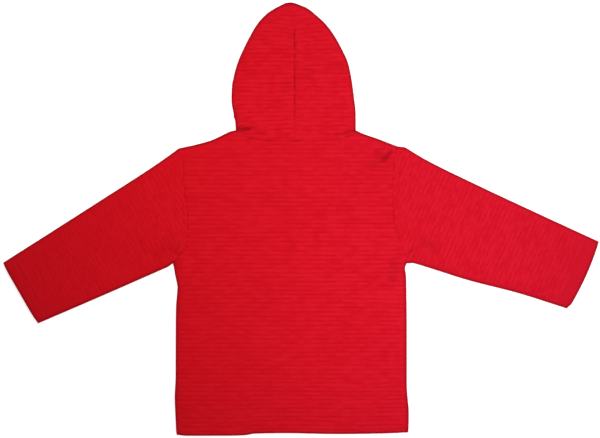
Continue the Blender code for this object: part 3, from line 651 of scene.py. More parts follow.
def sleeve_panel(side):
    up_arm, top_edge, under_edge, hole_edge = sleeve_outline(side)
    corner = under_edge[0][-1]  # where the underarm seam ends
    last = hole_edge[0][-1] - TIP_GAP
    t = rib_rows(0, last, BODY_RIB, RIB_PHASES)
    fan = smooth((t - corner) / (last - corner)) * (top_edge[0][-1] - last)
    tops = on_edge(top_edge, t + fan)
    unders = np.where((t < corner)[:, None], on_edge(under_edge, t), on_edge(hole_edge, t))
    width = np.linalg.norm(unders - tops, axis=1)
    to_seam, layer = folded_columns(np.zeros((2, len(t))), width, SLEEVE_COLUMNS)
    rows, width = t[:, None], width[:, None]
    d = width - to_seam  # from the folded upper edge
    share = d / width
    x, y = (lerp(tops[:, k:k + 1], unders[:, k:k + 1], share) for k in (0, 1))
    wobble = waves(SLEEVE_WOBBLE, rows, d * layer) * smooth(rows / 30)
    wobble = wobble * smooth((last - rows) / 30) * smooth(to_seam / 20)
    shift = wobble - cuff_bulge(side, share, rows)
    x, y = x + up_arm[0] * shift, y + up_arm[1] * shift

    distance = fold_distance(x, y)
    thickness = cloth_thickness(distance, rows, CUFF_HEM)
    plain = smooth((rows - corner + 5) / 10)
    armhole = armhole_seam(side, y - HEM_Y)
    seams = [(to_seam, plain * armhole), (last - rows, armhole)]
    top_z = upper_top(x, y, distance, rows * BODY_HEM / CUFF_HEM) - thickness / 2
    top_z = top_z + seam_dip(seams, x, y)
    pulled = stitch_dip(rows, CUFF_HEM - CUFF_STITCH, CUFF_DIP_WIDTH, distance) * (layer > 0)
    z = folded_height(layer, top_z, thickness, [(to_seam, 1 - plain)]) - pulled
    edge = least(to_seam, rows, last - rows)
    along = np.where(layer >= 0, d, -d)
    across = rows + waves(SLEEVE_DRIFT, d * layer, rows)
    rib = sleeve_ribs(side, distance, rows)
    shade = cloth_shade(x, y, least(distance, rows), seams)
    return Panel(t, x, y, z, thickness, along, across, edge, rib, shade)


def hood_droop(side, rows, to_seam):
    """How far the ribs droop to the centre seam near the crown. They rise to it near the base."""
    droop = 3.6 * np.exp(-np.abs(to_seam) / 15) * smooth((rows - 105) / 45)
    return droop - HOOD_ARCH[side] * bell(rows - 22, 20) * np.exp(-np.abs(to_seam) / 30)


def hood_panel(side):
    sign = SIGN[side]
    v = rib_rows(0, CROWN, HOOD_RIB, FINE_PHASES)
    half = column(HOOD, side, v)
    plain = smooth((v - 22) / 14) * (1 - smooth((v - 150) / 16))  # the centre seam
    seam = column(HOOD, "seam", v) * sign - (SEAM_PRESS + CLOSED_PRESS * (1 - plain)) / 2
    opening = column(HOOD, "opening", v)
    opening = lerp(opening, seam, smooth((v - CROWN_SEAM_LEVEL) / 20))
    a, layer = folded_columns((seam, opening), half, HOOD_COLUMNS)  # from the centre line
    rows, half = v[:, None], half[:, None]
    at_neck = sign * np.minimum(a / half, 1.0) * NECK_HALF[side]
    back_neck = column(BACK_NECK, "level", at_neck) - NECK_LEVEL
    front_neck = front_neck_level(at_neck) - NECK_LEVEL
    back_shift, front_shift = back_neck * (1 - smooth(rows / 70)), front_neck * (1 - rows / CROWN)
    peak = np.clip(1 - ((sign * a - CROWN_PEAK_ACROSS) / CROWN_PEAK_HALF) ** 2, 0, 1)
    level = rows + np.where(layer < 0, front_shift, back_shift)
    level = level + CROWN_PEAK * peak * smooth((rows - CROWN + 14) / 14)
    x, y = CENTRE_X + sign * a, HEM_Y + NECK_LEVEL + level

    distance = fold_distance(x, y)
    thickness = np.full_like(x, WALL)
    to_crown, to_seam, to_opening = CROWN - rows, a - seam[:, None], a - opening[:, None]
    plain = 0.15 + 0.85 * plain[:, None]
    neck_plain = smooth(to_seam) * neck_seam(at_neck)
    seams = [(np.abs(to_seam), plain * (layer > 0)), (rows, neck_plain)]
    top_z = upper_top(x, y, distance, 1e3) - thickness / 2 + seam_dip(seams, x, y)
    z = folded_height(layer, top_z, thickness, [(to_crown, 1.0)])
    edge = least(by_layer(layer, to_seam, np.inf, to_opening), rows, to_crown)
    along = np.where(layer < 0, 2 * half - a, a) * sign
    across = level + waves(HOOD_TILT, x, level) + hood_droop(side, rows, to_seam) * (layer > 0)
    rib = rib_fade(distance) * lerp(1.0, 0.85, smooth((rows - 110) / 50))
    shade = cloth_shade(x, y, distance, seams)
    return Panel(v, x, y, z, thickness, along, across, edge, rib, shade)


# ---- shells
def grid_normals(points):
    across = np.gradient(points, axis=1)
    along = np.gradient(points, axis=0)
    normal = np.cross(across, along)
    return normal / np.maximum(np.linalg.norm(normal, axis=2, keepdims=True), 1e-9)


def rib_pattern(panel, ribs, seed):
    """Relief of the ribs in mm, and the cloth's tone, from painted shade at 0 in a deep groove to
    painted sheen at 1 on a crest.
    """
    phase = panel.across / ribs.pitch
    groove, crest = np.round(phase), np.floor(phase)
    off = np.abs(phase - groove)  # 0 in a groove, 0.5 on a crest
    stretch = panel.along / ribs.stretch
    deep = noise(stretch, groove, seed) + 0.4 * noise(2.3 * stretch, groove, seed + 1)
    bright = noise(1.2 * stretch, crest, seed + 2) + 0.4 * noise(2.9 * stretch, crest, seed + 3)
    deep, bright = deep * ribs.uneven, bright * ribs.uneven
    strength = np.clip(0.85 + 0.5 * deep, 0.15, 1.5) * panel.rib * ribs.relief
    relief = -(GROOVE_DEPTH * bell(off, GROOVE_WIDTH) + CORD_DEPTH * np.cos(math.pi * off) ** 2)
    fuzz = 0.04 * noise(panel.along / 1.9, panel.across / 1.7, seed + 4)
    # Painted sheen on the crests and painted shade in the grooves, uneven along the ribs.
    light = np.clip(0.76 + 0.30 * bright, 0.35, 1.0)
    dark = np.clip(0.20 - 0.32 * deep, 0.0, 0.6)
    tone = lerp(dark, light, smooth(off / 0.34))
    return relief * strength + fuzz, 0.55 + (tone - 0.55) * panel.rib * ribs.contrast


def thin_out(count, step, needed):
    """Every step-th index, those needed, and all those that round off both ends."""
    ends = len(EDGE_STEPS)
    middle = [k for k in range(ends, count - ends) if (k - ends) % step == 0 or needed[k]]
    return list(range(ends)) + middle + list(range(count - ends, count))


def upright_in_hollows(normal, x, y):
    """Normals that point straight up or down in deep troughs, whose sides would cross."""
    upright = np.zeros_like(normal)
    upright[..., 2] = np.sign(normal[..., 2])
    lean = np.minimum(1.0, 2.5 * hollows(x, y)) * smooth((np.abs(normal[..., 2]) - 0.3) / 0.3)
    return lerp(normal, upright, lean[..., None])


def cloth_sides(panel, ribs, seed, faces_down):
    """Points of both sides, the cloth's tone of painted rib shade and sheen, and whether the faces
    have to be turned over.
    """
    points = np.stack([panel.x, panel.y, panel.z + mound(panel.x, panel.y)], axis=2)
    normal = grid_normals(points)
    rows, columns = panel.x.shape
    flipped = (normal[rows // 2, columns // 4, 2] > 0) == faces_down
    normal = upright_in_hollows(-normal if flipped else normal, panel.x, panel.y)
    half = panel.thickness[..., None] / 2 * round_off(panel.edge, SEAM_ROUND)[..., None]
    relief, tone = rib_pattern(panel, ribs, seed)
    relief = relief * smooth(panel.edge / 3.0)
    outer = points + normal * (half + relief[..., None])
    if faces_down:
        outer[..., 2] = np.maximum(outer[..., 2], 0.0)
    return outer, points - normal * half, tone, flipped


def inner_faces(index, keep_rows, keep_columns):
    """Faces of the thinned-out inner side. Those at the rim take in every point of the rim."""
    for i0, i1 in zip(keep_rows, keep_rows[1:]):
        for j0, j1 in zip(keep_columns, keep_columns[1:]):
            ring = list(index[i0, j0:j1 + 1]) + list(index[i0 + 1:i1 + 1, j1])
            ring += list(index[i1, j0:j1][::-1]) + list(index[i0 + 1:i1, j0][::-1])
            yield [int(k) for k in ring if k >= 0][::-1]


def shell_faces(panel, row_step, column_step):
    """Faces of a full grid and a thinned-out one behind it, and the points that one has alone."""
    rows, columns = panel.x.shape
    index = np.arange(rows * columns).reshape(rows, columns)
    quads = np.stack([index[:-1, :-1], index[:-1, 1:], index[1:, 1:], index[1:, :-1]], axis=2)
    deep = hollows(panel.x, panel.y) > 0.3  # where the inner side has to follow the troughs
    keep_rows = thin_out(rows, row_step, deep.any(axis=1))
    keep_columns = thin_out(columns, column_step, deep.any(axis=0))
    inside = np.full((rows, columns), -1)
    picked = np.ix_(keep_rows[1:-1], keep_columns[1:-1])
    inside[picked] = rows * columns + np.arange(inside[picked].size).reshape(inside[picked].shape)
    for rim in (np.s_[[0, -1], :], np.s_[:, [0, -1]]):
        inside[rim] = index[rim]
    faces = quads.reshape(-1, 4).tolist() + list(inner_faces(inside, keep_rows, keep_columns))
    return faces, picked


def shell(name, panel, ribs, seed, material, faces_down=False, row_step=6, column_step=3):
    """A closed piece, ribbed outside and plainer inside, and the points of its outer side."""
    outer, inner, tone, flipped = cloth_sides(panel, ribs, seed, faces_down)
    faces, picked = shell_faces(panel, row_step, column_step)
    if flipped:
        faces = [face[::-1] for face in faces]
    same = np.ones_like(tone)
    place = np.stack([panel.along, panel.across, seed * same], axis=2)
    # The painted rib shade and sheen, the painted shade of edges, troughs and seams, and how
    # blotchy.
    painted_light_and_blotches = np.stack([tone, panel.shade, ribs.blotches * same], axis=2)
    vertices, place, painted_light_and_blotches = (
        np.concatenate([outside.reshape(-1, 3), inside[picked].reshape(-1, 3)])
        for outside, inside in ((outer, inner), (place, place), (painted_light_and_blotches, painted_light_and_blotches))
    )
    attributes = {"cloth_place": place, "cloth_painted_light_and_blotches": painted_light_and_blotches}
    return mesh_piece(name, vertices, faces, material, attributes), outer


def ring_faces(first, sides, rings):
    """Quads between rings of points that follow each other, from point first on."""
    for low in range(first, first + sides * (rings - 1), sides):
        for k in range(sides):
            after = (k + 1) % sides
            yield low + k, low + after, low + sides + after, low + sides + k


def add_object(name, data):
    thing = bpy.data.objects.new(name, data)
    bpy.context.scene.collection.objects.link(thing)
    return thing


def add_piece(mesh, material):
    """A piece of the jacket's body from a mesh in metres."""
    mesh.shade_smooth()
    mesh.materials.append(material)
    piece = add_object(mesh.name, mesh)
    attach(piece, "jacket")
    return piece


def mesh_piece(name, vertices, faces, material, attributes):
    """A piece of the jacket's body from points in mm and vectors for each of them."""
    mesh = bpy.data.meshes.new(name)
    mesh.from_pydata((np.array(vertices) * MM).tolist(), [], faces)
    for attribute, values in attributes.items():
        made = mesh.attributes.new(attribute, "FLOAT_VECTOR", "POINT")
        made.data.foreach_set("vector", np.array(values, np.float32).ravel())
    return add_piece(mesh, material)


# ---- materials
class Look:
    """A Principled material and the nodes that feed it."""

    def __init__(self, name, colour, roughness, metallic=0.0, specular=0.5):
        self.made = bpy.data.materials.new(name)
        self.made.use_nodes = True
        self.nodes, self.links = self.made.node_tree.nodes, self.made.node_tree.links
        self.shader = self.nodes["Principled BSDF"]
        self.set(self.shader, {
            "Base Color": (*colour, 1.0), "Roughness": roughness,
            "Metallic": metallic, "Specular IOR Level": specular,
        })

    def set(self, node, values):
        for name, value in values.items():
            if isinstance(value, bpy.types.NodeSocket):
                self.links.new(value, node.inputs[name])
            else:
                node.inputs[name].default_value = value

    def node(self, kind, values, **settings):
        made = self.nodes.new("ShaderNode" + kind)
        for name, value in settings.items():
            setattr(made, name, value)
        self.set(made, values)
        return made

    def math(self, operation, first, second=0.0):
        return self.node("Math", {0: first, 1: second}, operation=operation).outputs[0]

    def attribute(self, name):
        """The three numbers of a mesh attribute, and the attribute as a vector."""
        vector = self.node("Attribute", {}, attribute_name=name).outputs["Vector"]
        return [*self.node("SeparateXYZ", {"Vector": vector}).outputs, vector]

    def noise(self, vector, scale, low, high, detail=2.0):
        """Noise spread over the range low to high."""
        texture = self.node("TexNoise", {"Vector": vector, "Scale": scale, "Detail": detail})
        spread = {"Value": texture.outputs["Fac"], "From Min": 0.3, "From Max": 0.7,
                  "To Min": low, "To Max": high}
        return self.node("MapRange", spread).outputs["Result"]

    def blend(self, factor, first, second):
        """A colour from first to second as the factor goes from 0 to 1."""
        ramp = self.node("ValToRGB", {"Fac": factor})
        ramp.color_ramp.elements[0].color = (*first, 1.0)
        ramp.color_ramp.elements[1].color = (*second, 1.0)
        return ramp.outputs["Color"]

    def vector(self, operation, values):
        return self.node("VectorMath", values, operation=operation).outputs["Vector"]

    def bump(self, height, distance, strength=1.0):
        values = {"Height": height, "Distance": distance, "Strength": strength}
        self.set(self.shader, {"Normal": self.node("Bump", values).outputs["Normal"]})


# The red of the ribs' grooves, with painted shade, and of their crests, with painted sheen.
GROOVE_SHADE_RED = (0.635, 0.0017, 0.0132)
CREST_SHEEN_RED = (0.755, 0.0095, 0.0313)
# Painted sheen: the cloth's red is made pinker towards its right side and a purer red towards its
# left, as in the photo: the share of both reds that it keeps on the left, and where that change
# begins and ends, in metres.
PAINTED_SHEEN_CUT = (1.0, 0.72, 0.53)
SHEEN_CUT_UNTIL, FULL_SHEEN_FROM = -0.20, 0.30
WALE, COURSE = 1.35, 1.1  # width and height of a knit stitch in mm
# Painted shade: the gaps between the stitches' yarns are made darker and the yarns lighter.
LOOP_SHADE, LOOP_BASE = 0.45, 0.938  # so that the stitches average about 1


def knit_loops(look, along, across):
    """Height of the V stitches, from 0 between them to 0.5 on their yarns."""
    wale = look.math("PINGPONG", look.math("DIVIDE", along, WALE), 0.5)
    slant = look.math("ADD", look.math("DIVIDE", across, COURSE), look.math("MULTIPLY", wale, 1.2))
    course = look.math("PINGPONG", slant, 0.5)
    return look.math("MULTIPLY", look.math("SQRT", wale), look.math("SQRT", course))


def knit_red(look, tone):
    """The red of the grooves' painted shade and the crests' painted sheen, made pinker by painted
    sheen towards the right side and purer towards the left.
    """
    here = look.node("TexCoord", {}).outputs["Object"]
    x = look.node("SeparateXYZ", {"Vector": here}).outputs["X"]
    reach = {"Value": x, "From Min": SHEEN_CUT_UNTIL, "From Max": FULL_SHEEN_FROM}
    # side: the share of painted sheen, rising from the left side to the right.
    side = look.node("MapRange", reach).outputs["Result"]
    both = {0: look.blend(tone, GROOVE_SHADE_RED, CREST_SHEEN_RED), 1: look.blend(side, PAINTED_SHEEN_CUT, (1.0,) * 3)}
    return look.vector("MULTIPLY", both)


def knit_look():
    """Red rib knit: painted sheen on the crests, painted shade in the grooves, on edges, in troughs
    and along seams, small V stitches and a short fuzz.
    """
    look = Look("red_knit", CREST_SHEEN_RED, 0.93, specular=0.07)
    look.set(look.shader, {
        "Sheen Weight": 0.04, "Sheen Roughness": 0.5, "Sheen Tint": (1.0, 0.30, 0.36, 1.0),
    })
    along, across, _, place = look.attribute("cloth_place")
    # tone is the painted rib shade and sheen, shade the painted shade of edges, troughs and seams.
    tone, shade, blotches, _ = look.attribute("cloth_painted_light_and_blotches")
    blotch = look.math("MULTIPLY", look.noise(place, 0.36, -1.0, 1.0, 1.0), blotches)
    # mottle carries the random blotches together with the painted shade.
    mottle = look.math("MULTIPLY", look.math("ADD", blotch, 1.0), shade)
    fleck = look.math("MULTIPLY", look.noise(place, 1.1, 0.97, 1.03), mottle)
    loops = knit_loops(look, along, across)
    # yarn: painted shade between the stitches' yarns, lighter on the yarns.
    yarn = look.math("ADD", look.math("MULTIPLY", loops, LOOP_SHADE), LOOP_BASE)
    red = {0: knit_red(look, tone), "Scale": look.math("MULTIPLY", fleck, yarn)}
    look.set(look.shader, {"Base Color": look.vector("SCALE", red)})
    fuzz = look.noise(place, 2.6, 0.0, 0.35, 3.0)
    look.bump(look.math("ADD", loops, fuzz), 0.0005, 0.7)
    return look.made


def thread_look():
    """The red sewing thread, a little deeper and glossier than the cloth."""
    look = Look("red_thread", (0.55, 0.004, 0.014), 0.6, specular=0.3)
    along, _, _, place = look.attribute("cloth_place")
    # twist: painted shade between the thread's plies, lighter on their tops; it also bumps them.
    twist = look.math("PINGPONG", look.math("DIVIDE", along, 0.45), 0.5)
    look.set(look.shader, {
        "Base Color": look.blend(twist, (0.42, 0.002, 0.010), (0.62, 0.006, 0.018)),
        "Roughness": look.noise(place, 1.5, 0.5, 0.7),
    })
    look.bump(twist, 0.0001, 0.6)
    return look.made


def tape_look():
    """The zip's woven tape: a fine herringbone of red yarns."""
    look = Look("red_zip_tape", (0.50, 0.004, 0.012), 0.8, specular=0.2)
    along, across, _, place = look.attribute("cloth_place")
    side = look.math("PINGPONG", look.math("DIVIDE", along, 3.0), 1.0)
    yarns = look.math("ADD", look.math("DIVIDE", across, 0.7), look.math("MULTIPLY", side, 2.0))
    twill = look.math("PINGPONG", yarns, 0.5)
    strength = look.math("MULTIPLY", twill, 2.0)
    # weave: painted shade where the twill's yarns dip, lighter where they rise; it also bumps them.
    weave = look.math("MULTIPLY", strength, look.noise(place, 1.2, 0.85, 1.0))
    look.set(look.shader, {
        "Base Color": look.blend(weave, (0.36, 0.002, 0.008), (0.56, 0.006, 0.016)),
    })
    look.bump(weave, 0.00015, 0.7)
    return look.made


def teeth_look():
    """The zip's moulded teeth: red plastic with a soft gloss."""
    look = Look("red_zip_teeth", (0.56, 0.006, 0.016), 0.4, specular=0.5)
    place = look.node("TexCoord", {}).outputs["Object"]
    mottle = look.noise(place, 400, 0, 1)
    look.set(look.shader, {
        "Base Color": look.blend(mottle, (0.50, 0.004, 0.012), (0.60, 0.008, 0.020)),
        "Roughness": look.noise(place, 900, 0.32, 0.5),
    })
    look.bump(look.noise(place, 1500, 0.0, 1.0), 0.00003, 0.4)
    return look.made


def metal_look():
    """The slider and its tab: nickel, brushed along the tab, worn a little brighter in patches."""
    look = Look("zip_metal", (0.62, 0.60, 0.57), 0.3, metallic=1.0)
    place = look.node("TexCoord", {}).outputs["Object"]
    stretched = look.node("Mapping", {"Vector": place, "Scale": (3000.0, 220.0, 900.0)})
    brushed = look.noise(stretched.outputs["Vector"], 1.0, 0.0, 1.0, 3.0)
    worn = look.noise(place, 260, 0.0, 1.0)
    rough = look.node("MapRange", {"Value": brushed, "To Min": 0.22, "To Max": 0.42})
    look.set(look.shader, {
        "Base Color": look.blend(worn, (0.54, 0.52, 0.49), (0.68, 0.66, 0.63)),
        "Roughness": rough.outputs["Result"],
    })
    look.bump(brushed, 0.00002, 0.5)
    return look.made


# ---- thread
STITCH_PITCH, STITCH_LENGTH = 3.2, 2.5
THREAD_WIDTH, THREAD_HEIGHT, THREAD_SIDES = 0.5, 0.36, 6
THREAD_RISE, THREAD_BOW = 0.06, 0.22  # of a stitch's middle, and from there down to its ends
THREAD_SINK = 0.25  # how deep its ends go into the cloth
STITCH_MARGIN = 2.5  # from a seam to where its stitches begin
STITCH_RINGS = [(-0.8, 0.75), (-0.3, 1.0), (0.3, 1.0), (0.8, 0.75)]  # place and size


def even_places(line, pitch):
    """Points at equal steps along a line, the line's direction there, and their places on it."""
    steps = np.linalg.norm(np.diff(line, axis=0), axis=1)
    length = np.concatenate([[0], np.cumsum(steps)])
    along = np.arange(pitch, length[-1] - pitch / 2, pitch)
    points, ahead = (
        np.stack([np.interp(along + step, length, line[:, k]) for k in range(3)], 1)
        for step in (0.0, 0.2)
    )
    direction = ahead - points
    return points, direction / np.linalg.norm(direction, axis=1, keepdims=True), along


def stitch_shape():
    """Points of one stitch, as places ahead, up and to the side: its ends and rings between."""
    half = STITCH_LENGTH / 2
    yield -half, -THREAD_SINK, 0.0
    for share, size in STITCH_RINGS:
        middle = THREAD_RISE - THREAD_BOW * share * share
        for k in range(THREAD_SIDES):
            angle = 2 * math.pi * k / THREAD_SIDES
            up, side = THREAD_HEIGHT / 2 * math.sin(angle), THREAD_WIDTH / 2 * math.cos(angle)
            yield half * share, middle + up * size, side * size
    yield half, -THREAD_SINK, 0.0


def stitch_faces():
    n, rings = THREAD_SIDES, len(STITCH_RINGS)
    last = 1 + (rings - 1) * n
    start = [(0, 1 + (k + 1) % n, 1 + k) for k in range(n)]
    end = [(last + k, last + (k + 1) % n, last + n) for k in range(n)]
    return [*start, *ring_faces(1, n, rings), *end]


def stitches(name, line, outward, material):
    """One row of lockstitches on a line, as a joined mesh. outward points away from the cloth."""
    points, ahead, along = even_places(line, STITCH_PITCH)
    share, shares = np.linspace(0, 1, len(points)), np.linspace(0, 1, len(outward))
    up = np.stack([np.interp(share, shares, outward[:, k]) for k in range(3)], 1)
    side = np.cross(up, ahead)
    side /= np.linalg.norm(side, axis=1, keepdims=True)
    shape = np.array(list(stitch_shape()))
    vertices = points[:, None] + shape @ np.stack([ahead, np.cross(ahead, side), side], axis=1)
    vertices[..., 2] = np.maximum(vertices[..., 2], 0.0)
    place = np.zeros_like(vertices)
    place[..., 0] = along[:, None] + shape[:, 0]
    first = range(0, len(points) * len(shape), len(shape))
    faces = [tuple(i + k for i in face) for k in first for face in stitch_faces()]
    attributes = {"cloth_place": place}
    return mesh_piece(name, vertices.reshape(-1, 3), faces, material, attributes)


# ---- the zip
CHAIN_LOW, CHAIN_HIGH = 1.5, 3.7
CHAIN_END = 0.7  # from the end of the chain's solid to its first tooth
TOOTH_PITCH = 2.6
# Half of a tooth's outline, from its root in the tape to the head that catches the other side.
TOOTH = [(-2.7, 0.62), (-1.0, 0.56), (-0.35, 0.40), (0.25, 0.62), (0.95, 0.58), (1.25, 0.25)]
TOOTH_HALF, TOOTH_BEVEL, TOOTH_TAPER = 0.62, 0.22, 0.9
TAPE_LOW, TAPE_THICKNESS = 2.3, 0.6
TAPE_INNER, TAPE_OUTER = 3.1, 17.4  # from the centre line
TAPE_TOP_GAP = 0.3  # below the front neckline
TAPE_ROWS, TAPE_COLUMNS = 190, 10
TAPE_BEAD, TAPE_BEAD_PLACE, TAPE_BEAD_WIDTH = 0.25, 1.0, 0.5  # along its inner edge
GRIP_LEVEL, GRIP_HALF, GRIP_INSET, GRIP_DEPTH = 1.6, 0.35, 0.12, 0.3  # grip lines of the box
BOX_BEVEL = 0.4
SHARP_FROM = math.radians(35)


def zip_teeth(material):
    """Two rows of moulded teeth that mesh along the centre line."""
    outline = TOOTH + [(a, -b) for a, b in TOOTH[::-1]]
    inset = [(a * TOOTH_TAPER, b * (1 - TOOTH_BEVEL / TOOTH_HALF)) for a, b in outline]
    levels = [
        (CHAIN_LOW, inset), (CHAIN_LOW + TOOTH_BEVEL, outline),
        (CHAIN_HIGH - TOOTH_BEVEL, outline), (CHAIN_HIGH, inset),
    ]
    shape = np.array([(a, b, z) for z, points in levels for a, b in points])
    order, n = tuple(range(len(shape))), len(outline)
    tooth = [order[:n][::-1], order[-n:], *ring_faces(0, n, len(levels))]
    low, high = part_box("zip_chain")
    start, end = low.y / MM + CHAIN_END, high.y / MM - CHAIN_END
    vertices, faces = [], []
    for k in range(int((end - start) / TOOTH_PITCH * 2)):
        sign = 1 if k % 2 else -1
        y = start + k * TOOTH_PITCH / 2
        faces += [tuple(i + len(vertices) for i in face[::sign]) for face in tooth]
        vertices += list(shape * (-sign, 1, 1) + (CENTRE_X, y, float(mound(CENTRE_X, y))))
    piece = mesh_piece("zip_teeth", vertices, faces, material, {})
    piece.data.set_sharp_from_angle(angle=SHARP_FROM)
    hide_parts("zip_chain")


def zip_tape(side, material):
    """The woven tape on the turned edge of a front, as a thin panel of its own."""
    from_inner = places(np.full(TAPE_ROWS, TAPE_OUTER - TAPE_INNER), TAPE_COLUMNS)
    across = SIGN[side] * (TAPE_INNER + from_inner)
    top = front_neck_level(across) - TAPE_TOP_GAP
    share = np.linspace(0, 1, TAPE_ROWS)[:, None]
    level = FRONT_HEM_RISE + share * (top - FRONT_HEM_RISE)
    x, y = CENTRE_X + across, HEM_Y + level
    z = np.full_like(x, TAPE_LOW + TAPE_THICKNESS / 2)
    from_outer = TAPE_OUTER - TAPE_INNER - from_inner
    edge = least(from_inner, from_outer, level - FRONT_HEM_RISE, top - level)
    thickness = TAPE_THICKNESS + TAPE_BEAD * bell(from_inner - TAPE_BEAD_PLACE, TAPE_BEAD_WIDTH)
    no_ribs, shade = np.zeros_like(x), np.ones_like(x)
    panel = Panel(level[:, 0], x, y, z, thickness, across, level, edge, no_ribs, shade)
    name = "woven_tape_" + side
    piece, _ = shell(name, panel, RIBS["body"], TAPE_SEED, material, row_step=12)
    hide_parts("zip_tape_" + side)
    declare_sheet(piece, panel)


def zip_box(material):
    """The moulded box at the zip's lower end, with rounded edges and two grip lines."""
    low, high = (np.array(corner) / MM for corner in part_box("zip_box"))
    centre, half = (low + high) / 2, (high - low) / 2
    shape = bmesh.new()
    bmesh.ops.create_cube(shape, size=2.0)
    for v in shape.verts:
        v.co = [a * b for a, b in zip(v.co, half)]
    for level in (-GRIP_LEVEL, GRIP_LEVEL):
        for cut in (level - GRIP_HALF, level + GRIP_HALF):
            parts = shape.verts[:] + shape.edges[:] + shape.faces[:]
            bmesh.ops.bisect_plane(shape, geom=parts, plane_co=(0, cut, 0), plane_no=(0, 1, 0))
    grips = [
        f for f in shape.faces
        if abs(f.normal.z) > 0.9 and abs(abs(f.calc_center_median().y) - GRIP_LEVEL) < GRIP_HALF
    ]
    bmesh.ops.inset_individual(shape, faces=grips, thickness=GRIP_INSET, depth=-GRIP_DEPTH)
    sharp = [
        e for e in shape.edges
        if len(e.link_faces) == 2 and e.calc_face_angle() > 1.2
        and all(abs(abs(v.co.x) - half[0]) < 0.01 for v in e.verts)
    ]
    bmesh.ops.bevel(shape, geom=sharp, offset=BOX_BEVEL, segments=2, profile=0.5, affect="EDGES")
    for v in shape.verts:
        v.co = [(a + b) * MM for a, b in zip(v.co, centre)]
    mesh = bpy.data.meshes.new("zip_end_box")
    shape.to_mesh(mesh)
    shape.free()
    piece = add_piece(mesh, material)
    mesh.set_sharp_from_angle(angle=SHARP_FROM)
    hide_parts("zip_box")


def add_zip():
    tape, metal = tape_look(), metal_look()
    for side in ("left", "right"):
        zip_tape(side, tape)
    zip_teeth(teeth_look())
    zip_box(metal)
    for node in ("zip_slider", "zip_pull_tab"):
        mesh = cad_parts[node].data
        mesh.materials.clear()
        mesh.materials.append(metal)


# ---- the cloth
def flat_area(panel):
    """Area of the middle surface in square metres."""
    points = np.stack([panel.x, panel.y, panel.z], axis=2) * MM
    a = points[:-1, 1:] - points[:-1, :-1]
    b = points[1:, :-1] - points[:-1, :-1]
    return float(np.linalg.norm(np.cross(a, b), axis=2).sum())


def declare_sheet(piece, panel):
    """Works out the area of the flat cut; nothing uses it."""
    area = flat_area(panel)


def hem_stitches(node, panel, outer, material):
    """The row of stitches that holds a turned hem or cuff."""
    level = CUFF_HEM - CUFF_STITCH if "sleeve" in node else BODY_HEM - HEM_STITCH
    row = int(np.argmin(np.abs(panel.rows - level)))
    keep = panel.edge[row] > STITCH_MARGIN
    line, normal = outer[row][keep], grid_normals(outer)[row][keep]
    return stitches("stitches_" + node, line, normal, material)


def cloth_panels():
    """Each piece's node, its panel and the name of its ribs."""
    yield "back", back_panel(), "body"
    for side in ("left", "right"):
        yield side + "_front", front_panel(side), "body"
        yield side + "_sleeve", sleeve_panel(side), side + "_sleeve"
        yield side + "_hood", hood_panel(side), "hood"


def add_cloth():
    knit, thread = knit_look(), thread_look()
    for k, (node, panel, ribs) in enumerate(cloth_panels()):
        seed, down = CLOTH_SEED + 10 * k, "front" in node
        piece, outer = shell("cloth_" + node, panel, RIBS[ribs], seed, knit, down)
        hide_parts(node)
        sewn = [] if "hood" in node else [hem_stitches(node, panel, outer, thread)]
        declare_sheet(piece, panel)


# ---- setting
FRAME_WIDTH = 925.1  # width of the surface that the camera sees
CAMERA_CENTRE = (-1.54, 0.77)
CAMERA_HEIGHT = 3000.0
SENSOR_WIDTH = 36.0

# The floor, in metres.
FLOOR_LEVEL = -0.0002
FLOOR_RINGS = (0.25, 0.6)  # shares of its flat radius
SWEEP_RADIUS, SWEEP_BEND, SWEEP_TOP, SWEEP_SIDES = 6.0, 1.0, 1.5, 96

# The lights: place and target in metres, size of the disk, watts, spread in degrees.
LIGHTS = [
    ("key", (0.50, 0.40, 0.80), (0.0, 0.0, 0.0), 0.50, 3.54, 180),
    ("left", (-0.20, 0.30, 0.70), (-0.10, 0.10, 0.0), 0.50, 2.13, 180),
    ("right", (0.46, -0.08, 0.55), (0.43, -0.06, 0.0), 0.20, 0.022, 60),
    ("low", (0.20, -0.35, 0.80), (0.15, -0.15, 0.0), 0.35, 0.625, 90),
]
WORLD_STRENGTH, FLOOR_EMISSION = 0.175, 0.70


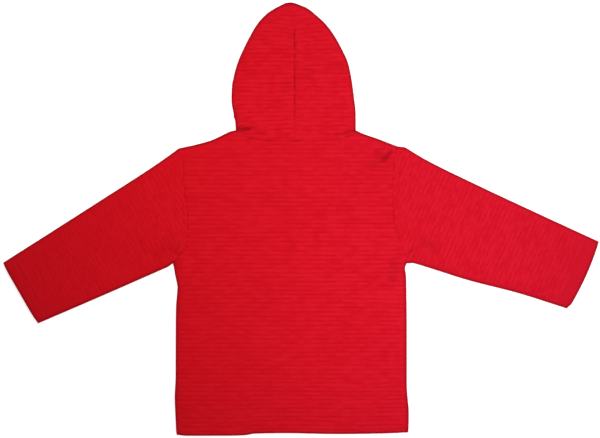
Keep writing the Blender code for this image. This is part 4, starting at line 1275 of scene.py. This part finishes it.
def add_camera():
    """It looks straight down, as the photo was taken."""
    camera = bpy.data.cameras.new("camera")
    camera.sensor_width = SENSOR_WIDTH
    camera.lens = SENSOR_WIDTH * CAMERA_HEIGHT / FRAME_WIDTH
    thing = add_object("camera", camera)
    x, y = CAMERA_CENTRE
    thing.location = (x * MM, y * MM, (CAMERA_HEIGHT + FOLD_HEIGHT) * MM)
    bpy.context.scene.camera = thing


def add_light(name, place, target, size, power, spread):
    light = bpy.data.lights.new(name, "AREA")
    light.shape = "DISK"
    light.size = size
    light.energy = power
    light.spread = math.radians(spread)
    thing = add_object(name, light)
    thing.location = place
    direction = Vector(place) - Vector(target)
    thing.rotation_euler = direction.to_track_quat("Z", "Y").to_euler()


def add_floor():
    """A round pale floor whose rim curves up into a low wall, so no horizon shows."""
    profile = [(SWEEP_RADIUS * share, 0.0) for share in FLOOR_RINGS]
    for a in np.radians(np.linspace(0, 90, 13)):
        profile.append((SWEEP_RADIUS + SWEEP_BEND * math.sin(a), SWEEP_BEND * (1 - math.cos(a))))
    profile.append((SWEEP_RADIUS + SWEEP_BEND, SWEEP_TOP))
    n = SWEEP_SIDES
    vertices = [(0, 0, FLOOR_LEVEL)] + [
        (radius * math.cos(turned), radius * math.sin(turned), FLOOR_LEVEL + height)
        for radius, height in profile
        for turned in (2 * math.pi * k / n for k in range(n))
    ]
    faces = [(0, 1 + k, 1 + (k + 1) % n) for k in range(n)]
    faces += [(a, d, c, b) for a, b, c, d in ring_faces(1, n, len(profile))]
    mesh = bpy.data.meshes.new("floor")
    mesh.from_pydata(vertices, [], faces)
    mesh.shade_smooth()
    look = Look("pale_floor", (0.80, 0.80, 0.80), 0.9, specular=0.1)
    look.set(look.shader, {"Emission Color": (1, 1, 1, 1), "Emission Strength": FLOOR_EMISSION})
    mesh.materials.append(look.made)
    add_object("floor", mesh)


def add_setting():
    add_camera()
    add_floor()
    for light in LIGHTS:
        add_light(*light)
    world = bpy.data.worlds.new("studio")
    world.use_nodes = True
    background = world.node_tree.nodes["Background"]
    background.inputs["Color"].default_value = (1, 1, 1, 1)
    background.inputs["Strength"].default_value = WORLD_STRENGTH
    bpy.context.scene.world = world
    bpy.context.scene.view_settings.view_transform = "Standard"


add_setting()
add_cloth()
add_zip()
